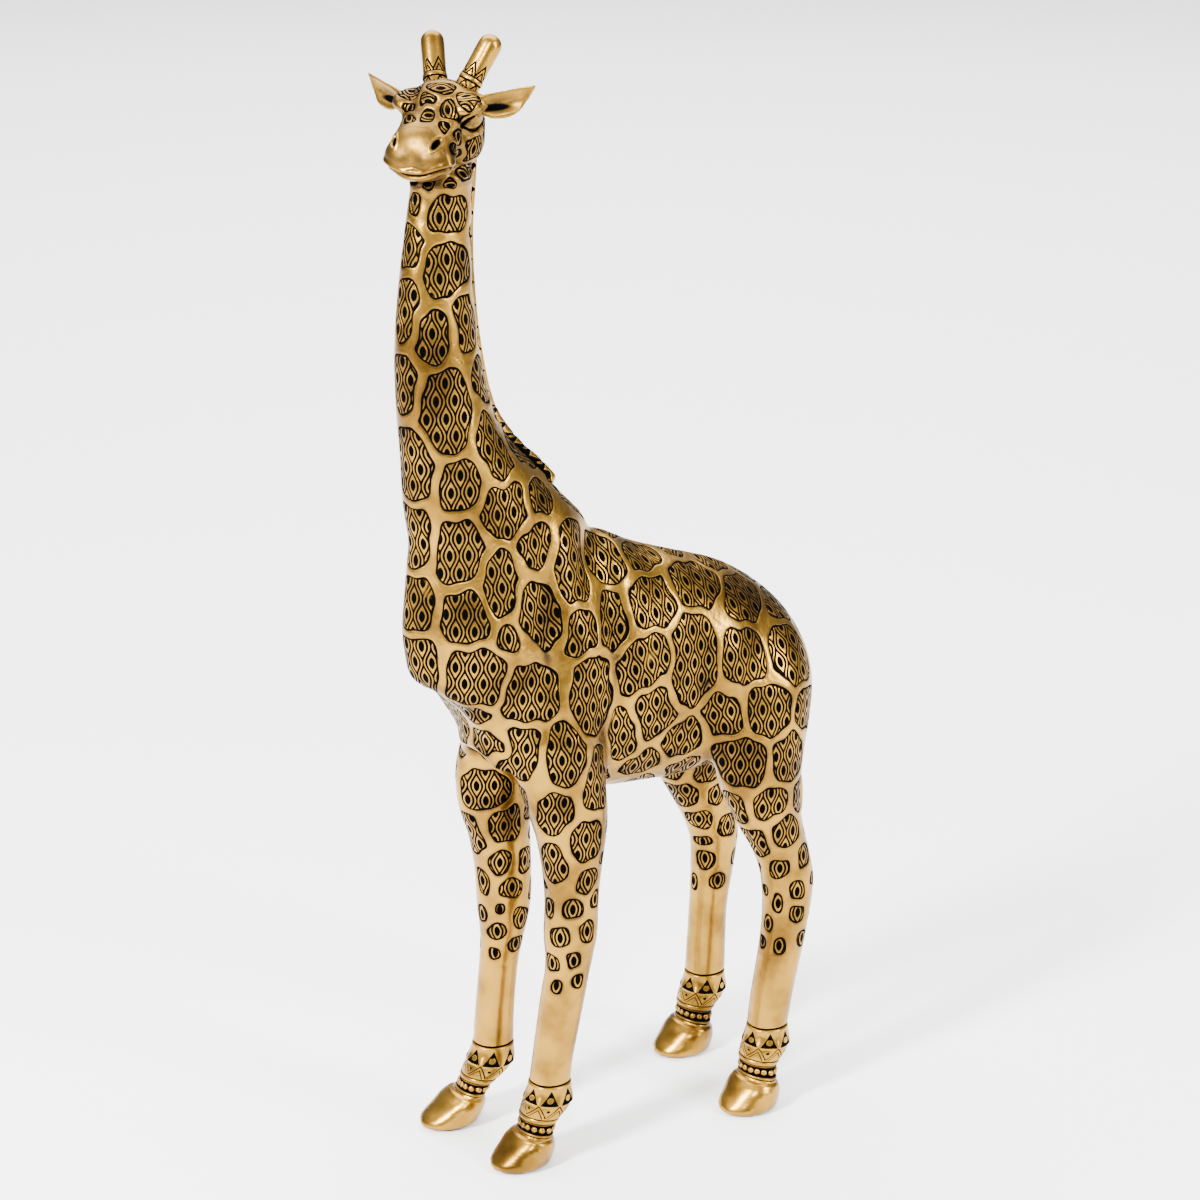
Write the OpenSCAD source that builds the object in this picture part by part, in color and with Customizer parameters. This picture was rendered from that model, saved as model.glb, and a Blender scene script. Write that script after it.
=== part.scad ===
// Standing giraffe statue with its head turned to its left.
// Row frame: +Z up, the giraffe looks along -Y, its left side is +X.
// The origin is on the floor, in the middle of the statue's footprint box.
// All lengths are in millimetres.

/* [Stance] */
// How far each front foot stands from the middle plane
front_foot_x = 23; // [20:0.5:27]
// How far each rear foot stands from the middle plane
rear_foot_x = 31; // [27:0.5:34]

/* [Head] */
// How far the head is turned to the giraffe's left, in degrees
head_turn = 31; // [0:1:50]
// How far the nose points down, in degrees
head_pitch = 0; // [-8:1:10]
// Length of a horn above its socket
horn_length = 26; // [18:0.5:28]
// Angle of each horn out from the middle of the head
horn_spread = 21; // [8:1:26]
// Angle of the horns back from the top of the head
horn_lean = 27; // [8:1:32]

/* [Reinforcement] */
// Diameter of the steel rod cast into each leg
leg_rod_d = 4; // [3:0.5:5]
// Diameter of the steel rod that runs up the neck
neck_rod_d = 6; // [4:0.5:8]

/* [Feet] */
// Diameter of the pad stuck under each hoof
pad_d = 15; // [10:1:17]
// Thickness of the pads
pad_t = 1.6; // [1.2:0.2:2.4]
// How far the pads stand out of their recesses
pad_proud = 0.6; // [0.4:0.1:1]

/* [Smoothness] */
// Number of sides of each leg
leg_sides = 18; // [14:2:22]
// Number of sides of the body and neck
body_sides = 28; // [24:2:34]

/* [Hidden] */
SIDES = ["left", "right"];
LEGS = ["front_left", "front_right", "rear_left", "rear_right"];

gold = [0.80, 0.62, 0.34];
dark = [0.13, 0.12, 0.12];
steel = [0.60, 0.60, 0.62];

mid_y = 6.5;          // moves every station so that the footprint box is centred
leg_top_z = 158;      // flat joint between the torso and each leg
ankle_z = 40;         // flat joint between each leg and its anklet
neck_foot_z = 292;    // flat joint between the torso and the neck
throat_z = 441;       // flat joint between the neck and the head's throat
steps = 3;            // rings made for each stretch between two stations

// Stations of the chest and neck, level rings: [x, y, z, half width, half depth, tilt].
CHEST = [
    [0, -59, 186, 18, 21, 0],
    [0, -60, 201, 25.5, 32, 0],
    [0, -61, 222, 28.5, 41, 0],
    [0, -61, 246, 28.5, 45.5, 0],
    [0, -61, 270, 26, 44.8, 0],
    [0, -62, neck_foot_z, 22.5, 41.5, 0]
];
NECK = [
    [0, -62, neck_foot_z, 22.5, 41.5, 0],
    [0, -72, 310, 20, 34, 0],
    [0, -81.4, 329, 18.2, 25, 0],
    [0, -87, 347, 16.2, 20.8, 0],
    [0, -90, 372, 14, 18.4, 0],
    [0, -90.3, 396, 12.4, 16.2, 0],
    [0, -89, 419, 11.2, 14.2, 0],
    [0, -86.4, throat_z, 10.6, 13.2, 0]
];

// Stations of the trunk, upright rings: [y, middle z, half width, height up, height down].
TRUNK = [
    [-78, 226, 8, 10, 10],
    [-66, 227, 24, 34, 34],
    [-44, 228, 29.5, 50, 48],
    [-18, 226, 31, 59, 60],
    [4, 221, 31.5, 54, 58],
    [28, 216, 32.5, 50, 54],
    [50, 212, 32, 46, 47],
    [70, 207, 29.5, 39, 37],
    [84, 203, 24.5, 29.5, 29],
    [93.5, 198, 17, 17.5, 22],
    [98, 194, 7, 6, 10]
];

// Roots of the legs inside the trunk, level rings of a left leg.
SHOULDER = [
    [8, -46, 264, 6, 10, 0],
    [13, -46, 247, 13, 20, 0],
    [16.5, -46, 222, 16.5, 25, 0],
    [18.5, -45, 198, 15.8, 23.5, 0]
];
HAUNCH = [
    [11, 58, 240, 7, 12, 0],
    [15, 60, 228, 13.5, 22, 0],
    [18.5, 61, 209, 18, 27.5, 0],
    [21.5, 59.5, 190, 18.2, 27, 0]
];
// Lower part of each leg, level rings measured with the foot at x 0.
LEG_STATIONS = [
    [[-3, -42.5, 177, 14.3, 20.5, 0], [-1.8, -39.5, leg_top_z, 13, 17.5, 0], [-1, -39.4, 141, 11.8, 14.2, 0],
        [-0.4, -40, 123, 11, 12.3, 0], [0, -41, 108, 11.4, 12.3, 0], [0, -42, 94, 10, 10.4, 0],
        [0, -45.6, 76, 9.6, 10, 0], [0, -50.5, 50, 9, 9.2, 0], [0, -52, ankle_z, 9, 9.4, 0]],
    [[-3, -51, 177, 14.3, 21, 0], [-1.8, -52.6, leg_top_z, 13, 17.6, 0], [-1, -50, 141, 12.4, 14.4, 0],
        [-0.4, -48, 123, 11.8, 13.2, 0], [0, -47.6, 107, 11.6, 12.6, 0], [0, -48.5, 92.5, 10, 10.3, 0],
        [0, -50.6, 78, 8.8, 9, 0], [0, -53, 56, 8.8, 9, 0], [0, -54, ankle_z, 9, 9.4, 0]],
    [[-6.5, 58, 173, 16.5, 23.5, 0], [-4.5, 58.5, leg_top_z, 15, 20, 0], [-2.7, 62, 141, 12.8, 16.2, 0],
        [-1.4, 68.5, 124, 11.4, 13.4, 0], [-0.7, 71.7, 111, 11, 12.8, 0], [-0.2, 71.5, 98, 10.4, 11.8, 0],
        [0, 69, 79, 9.8, 10.6, 0], [0, 64.5, 57, 9.4, 10, 0], [0, 61.8, ankle_z, 9.2, 9.6, 0]],
    [[-6.5, 55, 173, 16.5, 28, 0], [-4.5, 56.5, leg_top_z, 15, 23.5, 0], [-2.7, 62, 141, 13, 18, 0],
        [-1.4, 68.5, 124, 11.6, 14, 0], [-0.7, 73, 110, 10.8, 12.2, 0], [-0.2, 73, 95, 9.8, 10.8, 0],
        [0, 71, 74, 8.8, 9.4, 0], [0, 70, 54, 8.9, 9.5, 0], [0, 69.5, ankle_z, 9.2, 9.8, 0]]
];
// How far the middle of each sole is from its ankle ring: [x outwards, y].
SOLE_AT = [[-2, -15], [7, -20.5], [3, -13], [-1, -14.2]];
// The ankle and hoof: [share of the way to the sole in x, y; z, half width, half depth, tilt].
ANKLET = [
    [0, 0, ankle_z, 9, 9.4, 0],
    [0, 0.03, 35.5, 9.2, 9.7, 2],
    [0.05, 0.1, 30, 10.8, 11.4, 4],
    [0.12, 0.2, 25.5, 10.9, 11.8, 10],
    [0.25, 0.37, 20.5, 9.4, 10.2, 19],
    [0.4, 0.52, 16.5, 9.5, 10.6, 23]
];
HOOF = [
    [0.4, 0.52, 16.5, 9.5, 10.6, 23],
    [0.6, 0.7, 12.5, 10.6, 12, 18],
    [0.8, 0.87, 7.5, 11.2, 13.2, 9],
    [0.95, 0.98, 3, 11.6, 14, 2],
    [1, 1, pad_proud, 10.8, 13.3, 0]
];

// Stations of the skull, level rings in the head's own frame, origin on the neck's axis.
SKULL = [
    [0, 0, throat_z, 10.6, 13.2, 0],
    [0, -1.5, 446, 13.6, 15, 0],
    [0, 0, 452, 15.8, 15.8, 0],
    [0, 0.5, 460, 17.4, 15.5, 0],
    [0, 1, 468, 18.2, 14.4, 0],
    [0, 2, 475, 17.2, 12, 0],
    [0, 3, 480.5, 12.5, 8.5, 0],
    [0, 3.5, 483.5, 5, 3.5, 0]
];
// Stations of the muzzle, upright rings that run forward from inside the skull.
MUZZLE = [
    [-4, 463, 12, 11, 12],
    [-12, 461, 13.2, 10.5, 13],
    [-19, 458, 13.4, 9.6, 11.2],
    [-23.5, 456, 13, 7.6, 9.4],
    [-26.4, 454.4, 10.6, 4.8, 6],
    [-27.6, 453.6, 5, 2, 2.6]
];
HEAD_AT = [0, -86.4, 0];

// Ear in its own frame: [distance out, half width, half thickness, cup depth, rise of the middle].
EAR = [
    [-5, 3, 2.2, 0, 0],
    [0, 3.8, 2, 0.4, 0],
    [6, 5.4, 1.6, 1.4, -1],
    [12, 5.6, 1.3, 1.8, -1],
    [17, 4.4, 1.1, 1.3, 0.4],
    [21.5, 2.1, 0.9, 0.5, 2.6],
    [24, 0.6, 0.5, 0, 4.2]
];

// Line along the neck that the mane sits on: [y, z, height out, lean of the ring].
MANE = [
    [-72.2, 456, 0.5, 0],
    [-73.4, 440, 0.5, 2],
    [-75, 419, 0.5, 2],
    [-74.3, 396, 0.6, -4],
    [-71.8, 372, 0.8, -8],
    [-66.4, 347, 1.4, -18],
    [-56.6, 329, 3.2, -32],
    [-45.4, 316, 4.6, -42],
    [-37.2, 308.5, 3.4, -46]
];
mane_half_width = 3.2;
mane_depth = 3.5;

// Centre line of the tail: [y, z, radius].
TAIL = [
    [90, 213, 3],
    [95.5, 208, 3],
    [98.5, 197, 2.7],
    [99, 182, 2.4],
    [98.6, 166, 2.2],
    [98, 152, 2.5],
    [97.5, 140, 4],
    [97.2, 127, 4.2],
    [97.2, 116, 2.4],
    [97.2, 111, 0.8]
];

// ---- Curves and skins ----

// Smooth curve through the stations s, as a longer list of stations.
function between(a, b, c, d, t) =
    0.5 * (2 * b + (c - a) * t + (2 * a - 5 * b + 4 * c - d) * t * t
        + (3 * b - a - 3 * c + d) * t * t * t);
function smooth(s, n = steps) = concat(
    [for (i = [0 : len(s) - 2]) for (k = [0 : n - 1])
        between(s[max(i - 1, 0)], s[i], s[i + 1], s[min(i + 2, len(s) - 1)], k / n)],
    [s[len(s) - 1]]);

// A level ring: an ellipse round the vertical, tilted forward about X.
function level_ring(s, sides) = [for (i = [0 : sides - 1])
    let (a = 360 * i / sides, u = s[3] * cos(a), v = s[4] * sin(a))
    [s[0] + u, s[1] + v * cos(s[5]), s[2] + v * sin(s[5])]];

// An upright ring in an XZ plane, with its own height above and below the middle.
function upright_ring(s, sides) = [for (i = [0 : sides - 1])
    let (a = 360 * i / sides, c = cos(a), h = sin(a))
    [s[2] * sign(c) * pow(abs(c), 0.92), s[0], s[1] + h * (h > 0 ? s[3] : s[4])]];

// A crescent ring across an ear, with its hollow towards -Y.
function ear_ring(s, sides) = [for (i = [0 : sides - 1])
    let (a = 360 * i / sides, w = s[1] * cos(a))
    [s[0], s[2] * sin(a) + s[3] * (0.5 - pow(cos(a), 2)), s[4] + w]];

// A ring of the mane: rounded, proud of the neck by s[2] and mane_depth into it.
function mane_ring(s, sides) = [for (i = [0 : sides - 1])
    let (a = 360 * i / sides, v = sin(a) * (sin(a) > 0 ? s[2] : mane_depth))
    [mane_half_width * sign(cos(a)) * pow(abs(cos(a)), 0.7),
        s[0] + v * cos(s[3]), s[1] - v * sin(s[3])]];

// A round ring of the tail.
function tail_ring(s, sides) = [for (i = [0 : sides - 1])
    let (a = 360 * i / sides)
    [s[2] * cos(a), s[0] + s[2] * sin(a), s[1]]];

// A closed solid through a list of rings that all have the same number of points.
module skin(rings, flip = false) {
    n = len(rings[0]);
    last = len(rings) - 1;
    f = concat(
        [[for (i = [n - 1 : -1 : 0]) i]],
        [for (r = [0 : last - 1]) for (i = [0 : n - 1])
            [r * n + i, r * n + (i + 1) % n, (r + 1) * n + i]],
        [for (r = [0 : last - 1]) for (i = [0 : n - 1])
            [(r + 1) * n + i, r * n + (i + 1) % n, (r + 1) * n + (i + 1) % n]],
        [[for (i = [0 : n - 1]) last * n + i]]);
    polyhedron(
        points = [for (r = rings) each r],
        faces = flip ? [for (q = f) [for (i = [len(q) - 1 : -1 : 0]) q[i]]] : f);
}

// Free-form bodies joined or cut as one mesh.
module as_mesh() { resize([0, 0, 0]) children(); }

module level_skin(s, sides) {
    skin([for (r = smooth(s)) level_ring(r, sides)], s[0][2] < s[len(s) - 1][2]);
}
module upright_skin(s, sides) {
    skin([for (r = smooth(s)) upright_ring(r, sides)], s[0][0] > s[len(s) - 1][0]);
}

// ---- Placing ----

module in_place() { translate([0, mid_y, 0]) children(); }

function leg_index(name) = search([name], LEGS)[0];
function side_of(name) = leg_index(name) % 2 == 0 ? 1 : -1;
function is_front(name) = leg_index(name) < 2;
function foot_x(name) = is_front(name) ? front_foot_x : rear_foot_x;
function first_foot_x(name) = is_front(name) ? 23 : 31;
function outward(s, name) = [for (r = s)
    [side_of(name) * (foot_x(name) + r[0]), r[1], r[2], r[3], r[4], r[5]]];
function whole_leg(name) = concat(
    [for (r = is_front(name) ? SHOULDER : HAUNCH) [side_of(name) * r[0], r[1], r[2], r[3], r[4], r[5]]],
    outward(LEG_STATIONS[leg_index(name)], name));
// The whole leg is smoothed once and cut at the leg joint, so both sides of the joint agree.
function leg_rings(name, upper) = [for (r = smooth(whole_leg(name)))
    if (upper ? r[2] >= leg_top_z - 0.01 : r[2] <= leg_top_z + 0.01) r];
function ankle(name) = let (s = outward(LEG_STATIONS[leg_index(name)], name)) s[len(s) - 1];
function leg_at(name, k) = let (s = outward(LEG_STATIONS[leg_index(name)], name)) at(s[k]);
function under_ankle(s, name) = let (a = ankle(name), d = SOLE_AT[leg_index(name)]) [for (r = s)
    [a[0] + side_of(name) * d[0] * r[0], a[1] + d[1] * r[1], r[2], r[3], r[4], r[5]]];
function sole(name) = let (s = under_ankle(HOOF, name)) [s[4][0], s[4][1], 0];

module ring_skin(s, sides) {
    skin([for (r = s) level_ring(r, sides)], s[0][2] < s[len(s) - 1][2]);
}

// ---- Rods ----

function at(s) = [s[0], s[1], s[2]];

// A straight round rod from a to b.
module rod(a, b, d) {
    v = b - a;
    translate(a)
        rotate([0, acos(v[2] / norm(v)), atan2(v[1], v[0])])
            cylinder(h = norm(v), d = d, $fn = 32);
}
// The rear rods lean back, so that they stay inside the hocks.
module leg_rod_shape(name) {
    a = at(ankle(name));
    b = leg_at(name, 1) + (is_front(name) ? [0, 0, 0] : [0, 11, 0]);
    rod(a - (b - a) * 0.1, b + (b - a) * 0.14, leg_rod_d);
}
// The neck's rod passes in front of the mane's seat.
module neck_rod_shape() { rod([0, -72, 262], [0, -90, 456], neck_rod_d); }
module leg_rod(name) { color(steel) in_place() leg_rod_shape(name); }
module neck_rod() { color(steel) in_place() neck_rod_shape(); }

// ---- Castings ----

module torso() {
    color(gold) in_place() difference() {
        as_mesh() difference() {
            union() {
                upright_skin(TRUNK, body_sides);
                level_skin(CHEST, body_sides);
                for (l = LEGS) ring_skin(leg_rings(l, true), leg_sides);
            }
            tail_skin();
        }
        for (l = LEGS) leg_rod_shape(l);
        neck_rod_shape();
    }
}

module mane_skin() { skin([for (r = smooth(MANE)) mane_ring(r, 12)]); }
module mane() { color(gold) in_place() mane_skin(); }

module neck() {
    color(gold) in_place() difference() {
        as_mesh() difference() {
            level_skin(NECK, body_sides);
            mane_skin();
        }
        neck_rod_shape();
    }
}

module leg(name) {
    color(gold) in_place() as_mesh() difference() {
        ring_skin(leg_rings(name, false), leg_sides);
        leg_rod_shape(name);
    }
}

module anklet(name) {
    color(gold) in_place() as_mesh() difference() {
        level_skin(under_ankle(ANKLET, name), leg_sides);
        leg_rod_shape(name);
    }
}

module pad_at(name) { translate(sole(name)) children(); }

module hoof(name) {
    color(gold) in_place() difference() {
        level_skin(under_ankle(HOOF, name), leg_sides);
        pad_at(name) cylinder(h = pad_t, d = pad_d, $fn = 48);
    }
}

module foot_pad(name) {
    color(dark) in_place() pad_at(name) cylinder(h = pad_t, d = pad_d, $fn = 48);
}

module tail_skin() { skin([for (r = smooth(TAIL)) tail_ring(r, 10)]); }
module tail() { color(gold) in_place() tail_skin(); }

// ---- Head ----

module in_head() { translate(HEAD_AT) rotate([0, 0, head_turn]) children(); }
module nodded() { translate([0, 0, 458]) rotate([head_pitch, 0, 0]) translate([0, 0, -458]) children(); }

module blob(at, size) { translate(at) resize(size) sphere(d = 10, $fn = 20); }

module head_shape() {
    in_head() {
        level_skin(SKULL, body_sides);
        nodded() upright_skin(MUZZLE, 24);
        for (m = [0, 1]) mirror([m, 0, 0]) {
            blob([14, -6.5, 473.5], [13, 17, 9]);       // brow over the eye
            blob([10.5, -4, 455], [12, 24, 16]);        // cheek
            nodded() blob([8.2, -21, 453.6], [12, 11, 11]); // side of the upper lip
        }
        nodded() blob([0, -19.5, 448.6], [18, 15, 9]);      // lower lip
    }
}

// One horn: a round stalk with a rounded tip, standing in a socket in the skull.
module horn_shape() {
    rotate_extrude($fn = 24) polygon(concat(
        [[0, -7], [4.6, -7], [4.6, 0], [4.2, 8], [4.1, horn_length - 6]],
        [for (a = [0 : 22.5 : 90]) [4.1 * cos(a), horn_length - 4.1 + 4.1 * sin(a)]]));
}
module at_horn(side) {
    in_head() mirror([side == "right" ? 1 : 0, 0, 0])
        translate([7, 6, 477]) rotate([-horn_lean, horn_spread, 0]) children();
}
module horn(side) { color(gold) in_place() at_horn(side) horn_shape(); }

module ear_skin() { skin([for (r = smooth(EAR)) ear_ring(r, 14)]); }
module at_ear(side) {
    in_head() mirror([side == "right" ? 1 : 0, 0, 0])
        translate([17.6, -0.8, 473.4]) rotate([0, -9, 26]) children();
}
module ear(side) { color(gold) in_place() at_ear(side) ear_skin(); }

module head() {
    color(gold) in_place() difference() {
        as_mesh() difference() {
            head_shape();
            mane_skin();
            for (s = SIDES) at_ear(s) ear_skin();
        }
        for (s = SIDES) at_horn(s) horn_shape();
        neck_rod_shape();
    }
}

// ---- One node at a time ----

torso();
neck();
head();
mane();
tail();
neck_rod();
for (s = SIDES) {
    ear(s);
    horn(s);
}
for (l = LEGS) {
    leg(l);
    anklet(l);
    hoof(l);
    leg_rod(l);
    foot_pad(l);
}
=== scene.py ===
"""Giraffe statue: cast in parts, its skin worked with framed ogee patches and finished in antique gold."""

import math

import bpy
import numpy as np
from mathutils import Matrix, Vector


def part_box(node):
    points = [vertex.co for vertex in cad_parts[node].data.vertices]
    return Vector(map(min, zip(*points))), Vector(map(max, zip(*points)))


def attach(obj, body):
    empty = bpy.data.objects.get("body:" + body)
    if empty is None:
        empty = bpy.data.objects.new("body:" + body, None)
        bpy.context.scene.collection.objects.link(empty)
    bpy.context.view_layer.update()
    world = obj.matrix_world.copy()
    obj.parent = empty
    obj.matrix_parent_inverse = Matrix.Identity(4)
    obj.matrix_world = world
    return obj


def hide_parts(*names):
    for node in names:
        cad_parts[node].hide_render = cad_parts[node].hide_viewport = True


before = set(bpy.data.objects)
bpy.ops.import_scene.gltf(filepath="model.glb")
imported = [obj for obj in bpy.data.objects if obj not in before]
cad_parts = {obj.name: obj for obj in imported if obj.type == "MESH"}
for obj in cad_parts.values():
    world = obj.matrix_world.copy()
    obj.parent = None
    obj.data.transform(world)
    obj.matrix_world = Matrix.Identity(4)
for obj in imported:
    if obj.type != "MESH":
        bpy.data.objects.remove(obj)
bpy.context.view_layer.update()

# All shapes are worked out in millimetres and turned into metres when a piece is made.
MM = 0.001
LEGS = ["front_left", "front_right", "rear_left", "rear_right"]
VOXEL = 1.25  # grid of the base skin
HALFWAY = 10  # forelegs lie before this y, hind legs behind it
NECK_TOP, NECK_FOOT, LEG_TOP, ANKLE = (
    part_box("neck")[1].z / MM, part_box("neck")[0].z / MM,
    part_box("leg_front_left")[1].z / MM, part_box("leg_front_left")[0].z / MM)
rng = np.random.default_rng(7)


# ---------------------------------------------------------------- small tools

def unit(v):
    v = np.asarray(v, float)
    return v / np.maximum(np.linalg.norm(v, axis=-1, keepdims=True), 1e-9)


def box_middle(p):
    """Middle of the points' box, seen from above."""
    return (p[:, :2].min(0) + p[:, :2].max(0)) / 2


def step(a, b, x):
    """Smooth ramp from 0 at a to 1 at b."""
    t = np.clip((np.asarray(x, float) - a) / (b - a), 0, 1)
    return t * t * (3 - 2 * t)


def bell(x, width):
    return np.exp(-(np.asarray(x) / width) ** 2)


def arrays(me):
    """A mesh's points in mm, and its triangles."""
    co = np.empty(len(me.vertices) * 3)
    me.vertices.foreach_get("co", co)
    me.calc_loop_triangles()
    tri = np.empty(len(me.loop_triangles) * 3, np.int32)
    me.loop_triangles.foreach_get("vertices", tri)
    return co.reshape(-1, 3) / MM, tri.reshape(-1, 3)


def cad_mesh(name):
    return arrays(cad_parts[name].data)


def add_object(name, data):
    o = bpy.data.objects.new(name, data)
    bpy.context.scene.collection.objects.link(o)
    return o


def mesh_from(name, points, faces):
    me = bpy.data.meshes.new(name)
    me.from_pydata((np.asarray(points) * MM).tolist(), [], np.asarray(faces).tolist())
    return me


def vertex_normals(points, tris):
    a, b, c = (points[tris[:, i]] for i in range(3))
    n = np.cross(b - a, c - a)
    out = np.empty_like(points)
    for k in range(3):
        out[:, k] = sum(np.bincount(tris[:, i], n[:, k], len(points)) for i in range(3))
    return unit(out)


def edges_of(tris):
    e = np.sort(np.concatenate([tris[:, [0, 1]], tris[:, [1, 2]], tris[:, [2, 0]]]), axis=1)
    return np.unique(e, axis=0)


def relax(values, edges, rounds, weight=0.5):
    """Averages values over mesh neighbours, round after round. weight may differ from point to point."""
    n = len(values)
    count = np.maximum(np.bincount(edges.ravel(), minlength=n), 1)
    values = values.reshape(n, -1).copy()
    weight = np.broadcast_to(np.asarray(weight, float), (n,))[:, None]
    for _ in range(rounds):
        mean = np.empty_like(values)
        for k in range(values.shape[1]):
            col = values[:, k]
            mean[:, k] = (np.bincount(edges[:, 0], col[edges[:, 1]], n)
                          + np.bincount(edges[:, 1], col[edges[:, 0]], n)) / count
        values += weight * (mean - values)
    return values


def subdivide(points, normals, tris, labels=None):
    """Each triangle becomes four, with the new points lifted onto the curve that the normals give."""
    n = len(points)
    e = np.sort(np.stack([tris[:, [0, 1]], tris[:, [1, 2]], tris[:, [2, 0]]], 1), axis=2).reshape(-1, 2)
    keys, where = np.unique(e[:, 0].astype(np.int64) * n + e[:, 1], return_inverse=True)
    a, b = keys // n, keys % n
    m = (points[a] + points[b]) / 2
    lift_a = np.sum((m - points[a]) * normals[a], 1)[:, None] * normals[a]
    lift_b = np.sum((m - points[b]) * normals[b], 1)[:, None] * normals[b]
    m = m - 0.25 * (lift_a + lift_b)
    where = where.reshape(-1, 3) + n
    ab, bc, ca = where[:, 0], where[:, 1], where[:, 2]
    new = np.concatenate([np.stack(t, 1) for t in (
        (tris[:, 0], ab, ca), (ab, tris[:, 1], bc), (ca, bc, tris[:, 2]), (ab, bc, ca))])
    out = (np.concatenate([points, m]), np.concatenate([normals, unit(normals[a] + normals[b])]), new)
    return out if labels is None else out + (np.tile(labels, 4),)


def take(points, normals, tris):
    """Only the points that tris uses."""
    used, tris = np.unique(tris, return_inverse=True)
    return points[used], normals[used], tris.reshape(-1, 3)


def loops_of(tris):
    """The open edges of a mesh as closed loops of point numbers."""
    d = {}
    for a, b in np.concatenate([tris[:, [0, 1]], tris[:, [1, 2]], tris[:, [2, 0]]]).tolist():
        if d.pop((b, a), None) is None:
            d[(a, b)] = True
    after = {a: b for a, b in d}
    loops = []
    while after:
        start = next(iter(after))
        loop, at = [start], after.pop(start)
        while at != start:
            loop.append(at)
            at = after.pop(at)
        loops.append(loop)
    return loops


# ---------------------------------------------------------------- base skin

def voxel_skin(nodes, size):
    """One closed skin round the named CAD nodes, as triangles."""
    points, faces, n = [], [], 0
    for name in nodes:
        p, t = cad_mesh(name)
        points.append(p)
        faces.append(t + n)
        n += len(p)
    me = mesh_from("skin_source", np.concatenate(points), np.concatenate(faces))
    o = add_object("skin_source", me)
    m = o.modifiers.new("remesh", "REMESH")
    m.mode, m.voxel_size = "VOXEL", size * MM
    skin = arrays(o.evaluated_get(bpy.context.evaluated_depsgraph_get()).to_mesh())
    bpy.data.objects.remove(o)
    return skin


castings = (["torso", "neck", "head", "mane", "neck_rod"]
            + [f"{k}_{l}" for k in ("leg", "anklet", "hoof", "leg_rod", "foot_pad") for l in LEGS])
P, T = voxel_skin(castings, VOXEL)
E = edges_of(T)

# How strongly the skin is smoothed at each height: hooves and head little, the body fully.
smooth_by_height = np.interp(P[:, 2], [0, 14, 40, 60, 110, 158, 185, 441, 446],
                             [0.1, 0.16, 0.2, 0.34, 0.4, 0.6, 1, 1, 0.3])
raw = P.copy()
P = relax(P, E, 46, 0.5 * smooth_by_height)
N = vertex_normals(P, T)
loss = np.sum((raw - P) * N, 1)
P = P + N * relax(loss, E, 60, 0.5)
P[:, 2] = np.maximum(P[:, 2], 0.6)

# ---------------------------------------------------------------- head

lateral = unit((cad_mesh("ear_left")[0].mean(0) - cad_mesh("ear_right")[0].mean(0))[:2])
throat = cad_mesh("neck")[0]
throat = throat[throat[:, 2] > NECK_TOP - 0.1]
head_at = np.array([0.9, throat[:, 1].min() + 13.2 + 1.3])
ahead = np.array([lateral[1], -lateral[0]])


def to_head(p):
    """World to head: sideways (left is +), forwards, height."""
    d = p[..., :2] - head_at
    return np.stack([d @ lateral, d @ ahead, p[..., 2]], -1)


def from_head(q):
    q = np.asarray(q, float)
    xy = head_at + q[..., :1] * lateral + q[..., 1:2] * ahead
    return np.concatenate([xy, q[..., 2:]], -1)


def ellipsoid(q, at, radii, nod=0.0):
    """Roughly the distance from an ellipsoid whose front dips by nod degrees."""
    d = q - np.array(at)
    if nod:
        c, s = math.cos(math.radians(nod)), math.sin(math.radians(nod))
        d = np.stack([d[..., 0], d[..., 1] * c - d[..., 2] * s, d[..., 1] * s + d[..., 2] * c], -1)
    r = np.array(radii, float)
    k0 = np.linalg.norm(d / r, axis=-1)
    k1 = np.linalg.norm(d / (r * r), axis=-1)
    return k0 * (k0 - 1) / np.maximum(k1, 1e-6)


def melt(fields, k):
    """Smooth union of distance fields."""
    low = np.min(fields, axis=0)
    return low - k * np.log(sum(np.exp(-(f - low) / k) for f in fields))


def path_distance(q, path, scale=1.0):
    """Distance to a polyline, and the share of the way along it. scale weighs the three directions."""
    q, path = q * scale, np.array(path) * scale
    best, where = np.full(q.shape[:-1], 1e9), np.zeros(q.shape[:-1])
    for i in range(len(path) - 1):
        a, b = path[i], path[i + 1]
        t = np.clip(((q - a) @ (b - a)) / max(np.dot(b - a, b - a), 1e-9), 0, 1)
        d = np.linalg.norm(q - a - t[..., None] * (b - a), axis=-1)
        better = d < best
        best = np.where(better, d, best)
        where = np.where(better, (i + t) / (len(path) - 1), where)
    return best, where


def taper(t, start, span):
    """0 at the ends of a stroke and 1 in its middle, as t goes from 0 to 1."""
    return np.sin(np.pi * np.clip(start + span * t, 0, 1))


# The left side of the face; the right side mirrors it. (sideways, forwards, height)
EYE = np.array([17.4, 2.8, 467.4])
UPPER_LID = [(14.2, 10.4, 467.4), (16.0, 7.2, 470.8), (17.2, 3.0, 472.9),
             (17.6, -1.0, 473.3), (17.6, -4.2, 471.4)]
LOWER_LID = [(14.6, 9.6, 465.2), (16.4, 6.0, 463.0), (17.2, 2.0, 462.2),
             (17.6, -1.6, 463.8), (17.6, -4.2, 468.0)]
CREASE = [(13.8, 11.0, 468.8), (15.6, 7.4, 472.5), (17.0, 3.0, 474.6),
          (17.8, -1.6, 475.0), (18.0, -5.2, 472.6)]
BROW = [(12.8, 12.2, 470.6), (14.8, 8.6, 474.7), (16.8, 4.0, 477.4),
        (18.0, -2.0, 477.6), (18.2, -6.2, 475.0)]
SLIT = [(14.2, 10.2, 466.8), (16.0, 7.0, 469.0), (17.0, 3.4, 470.9),
        (17.4, 0.2, 471.6), (17.6, -2.8, 471.0)]
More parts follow.
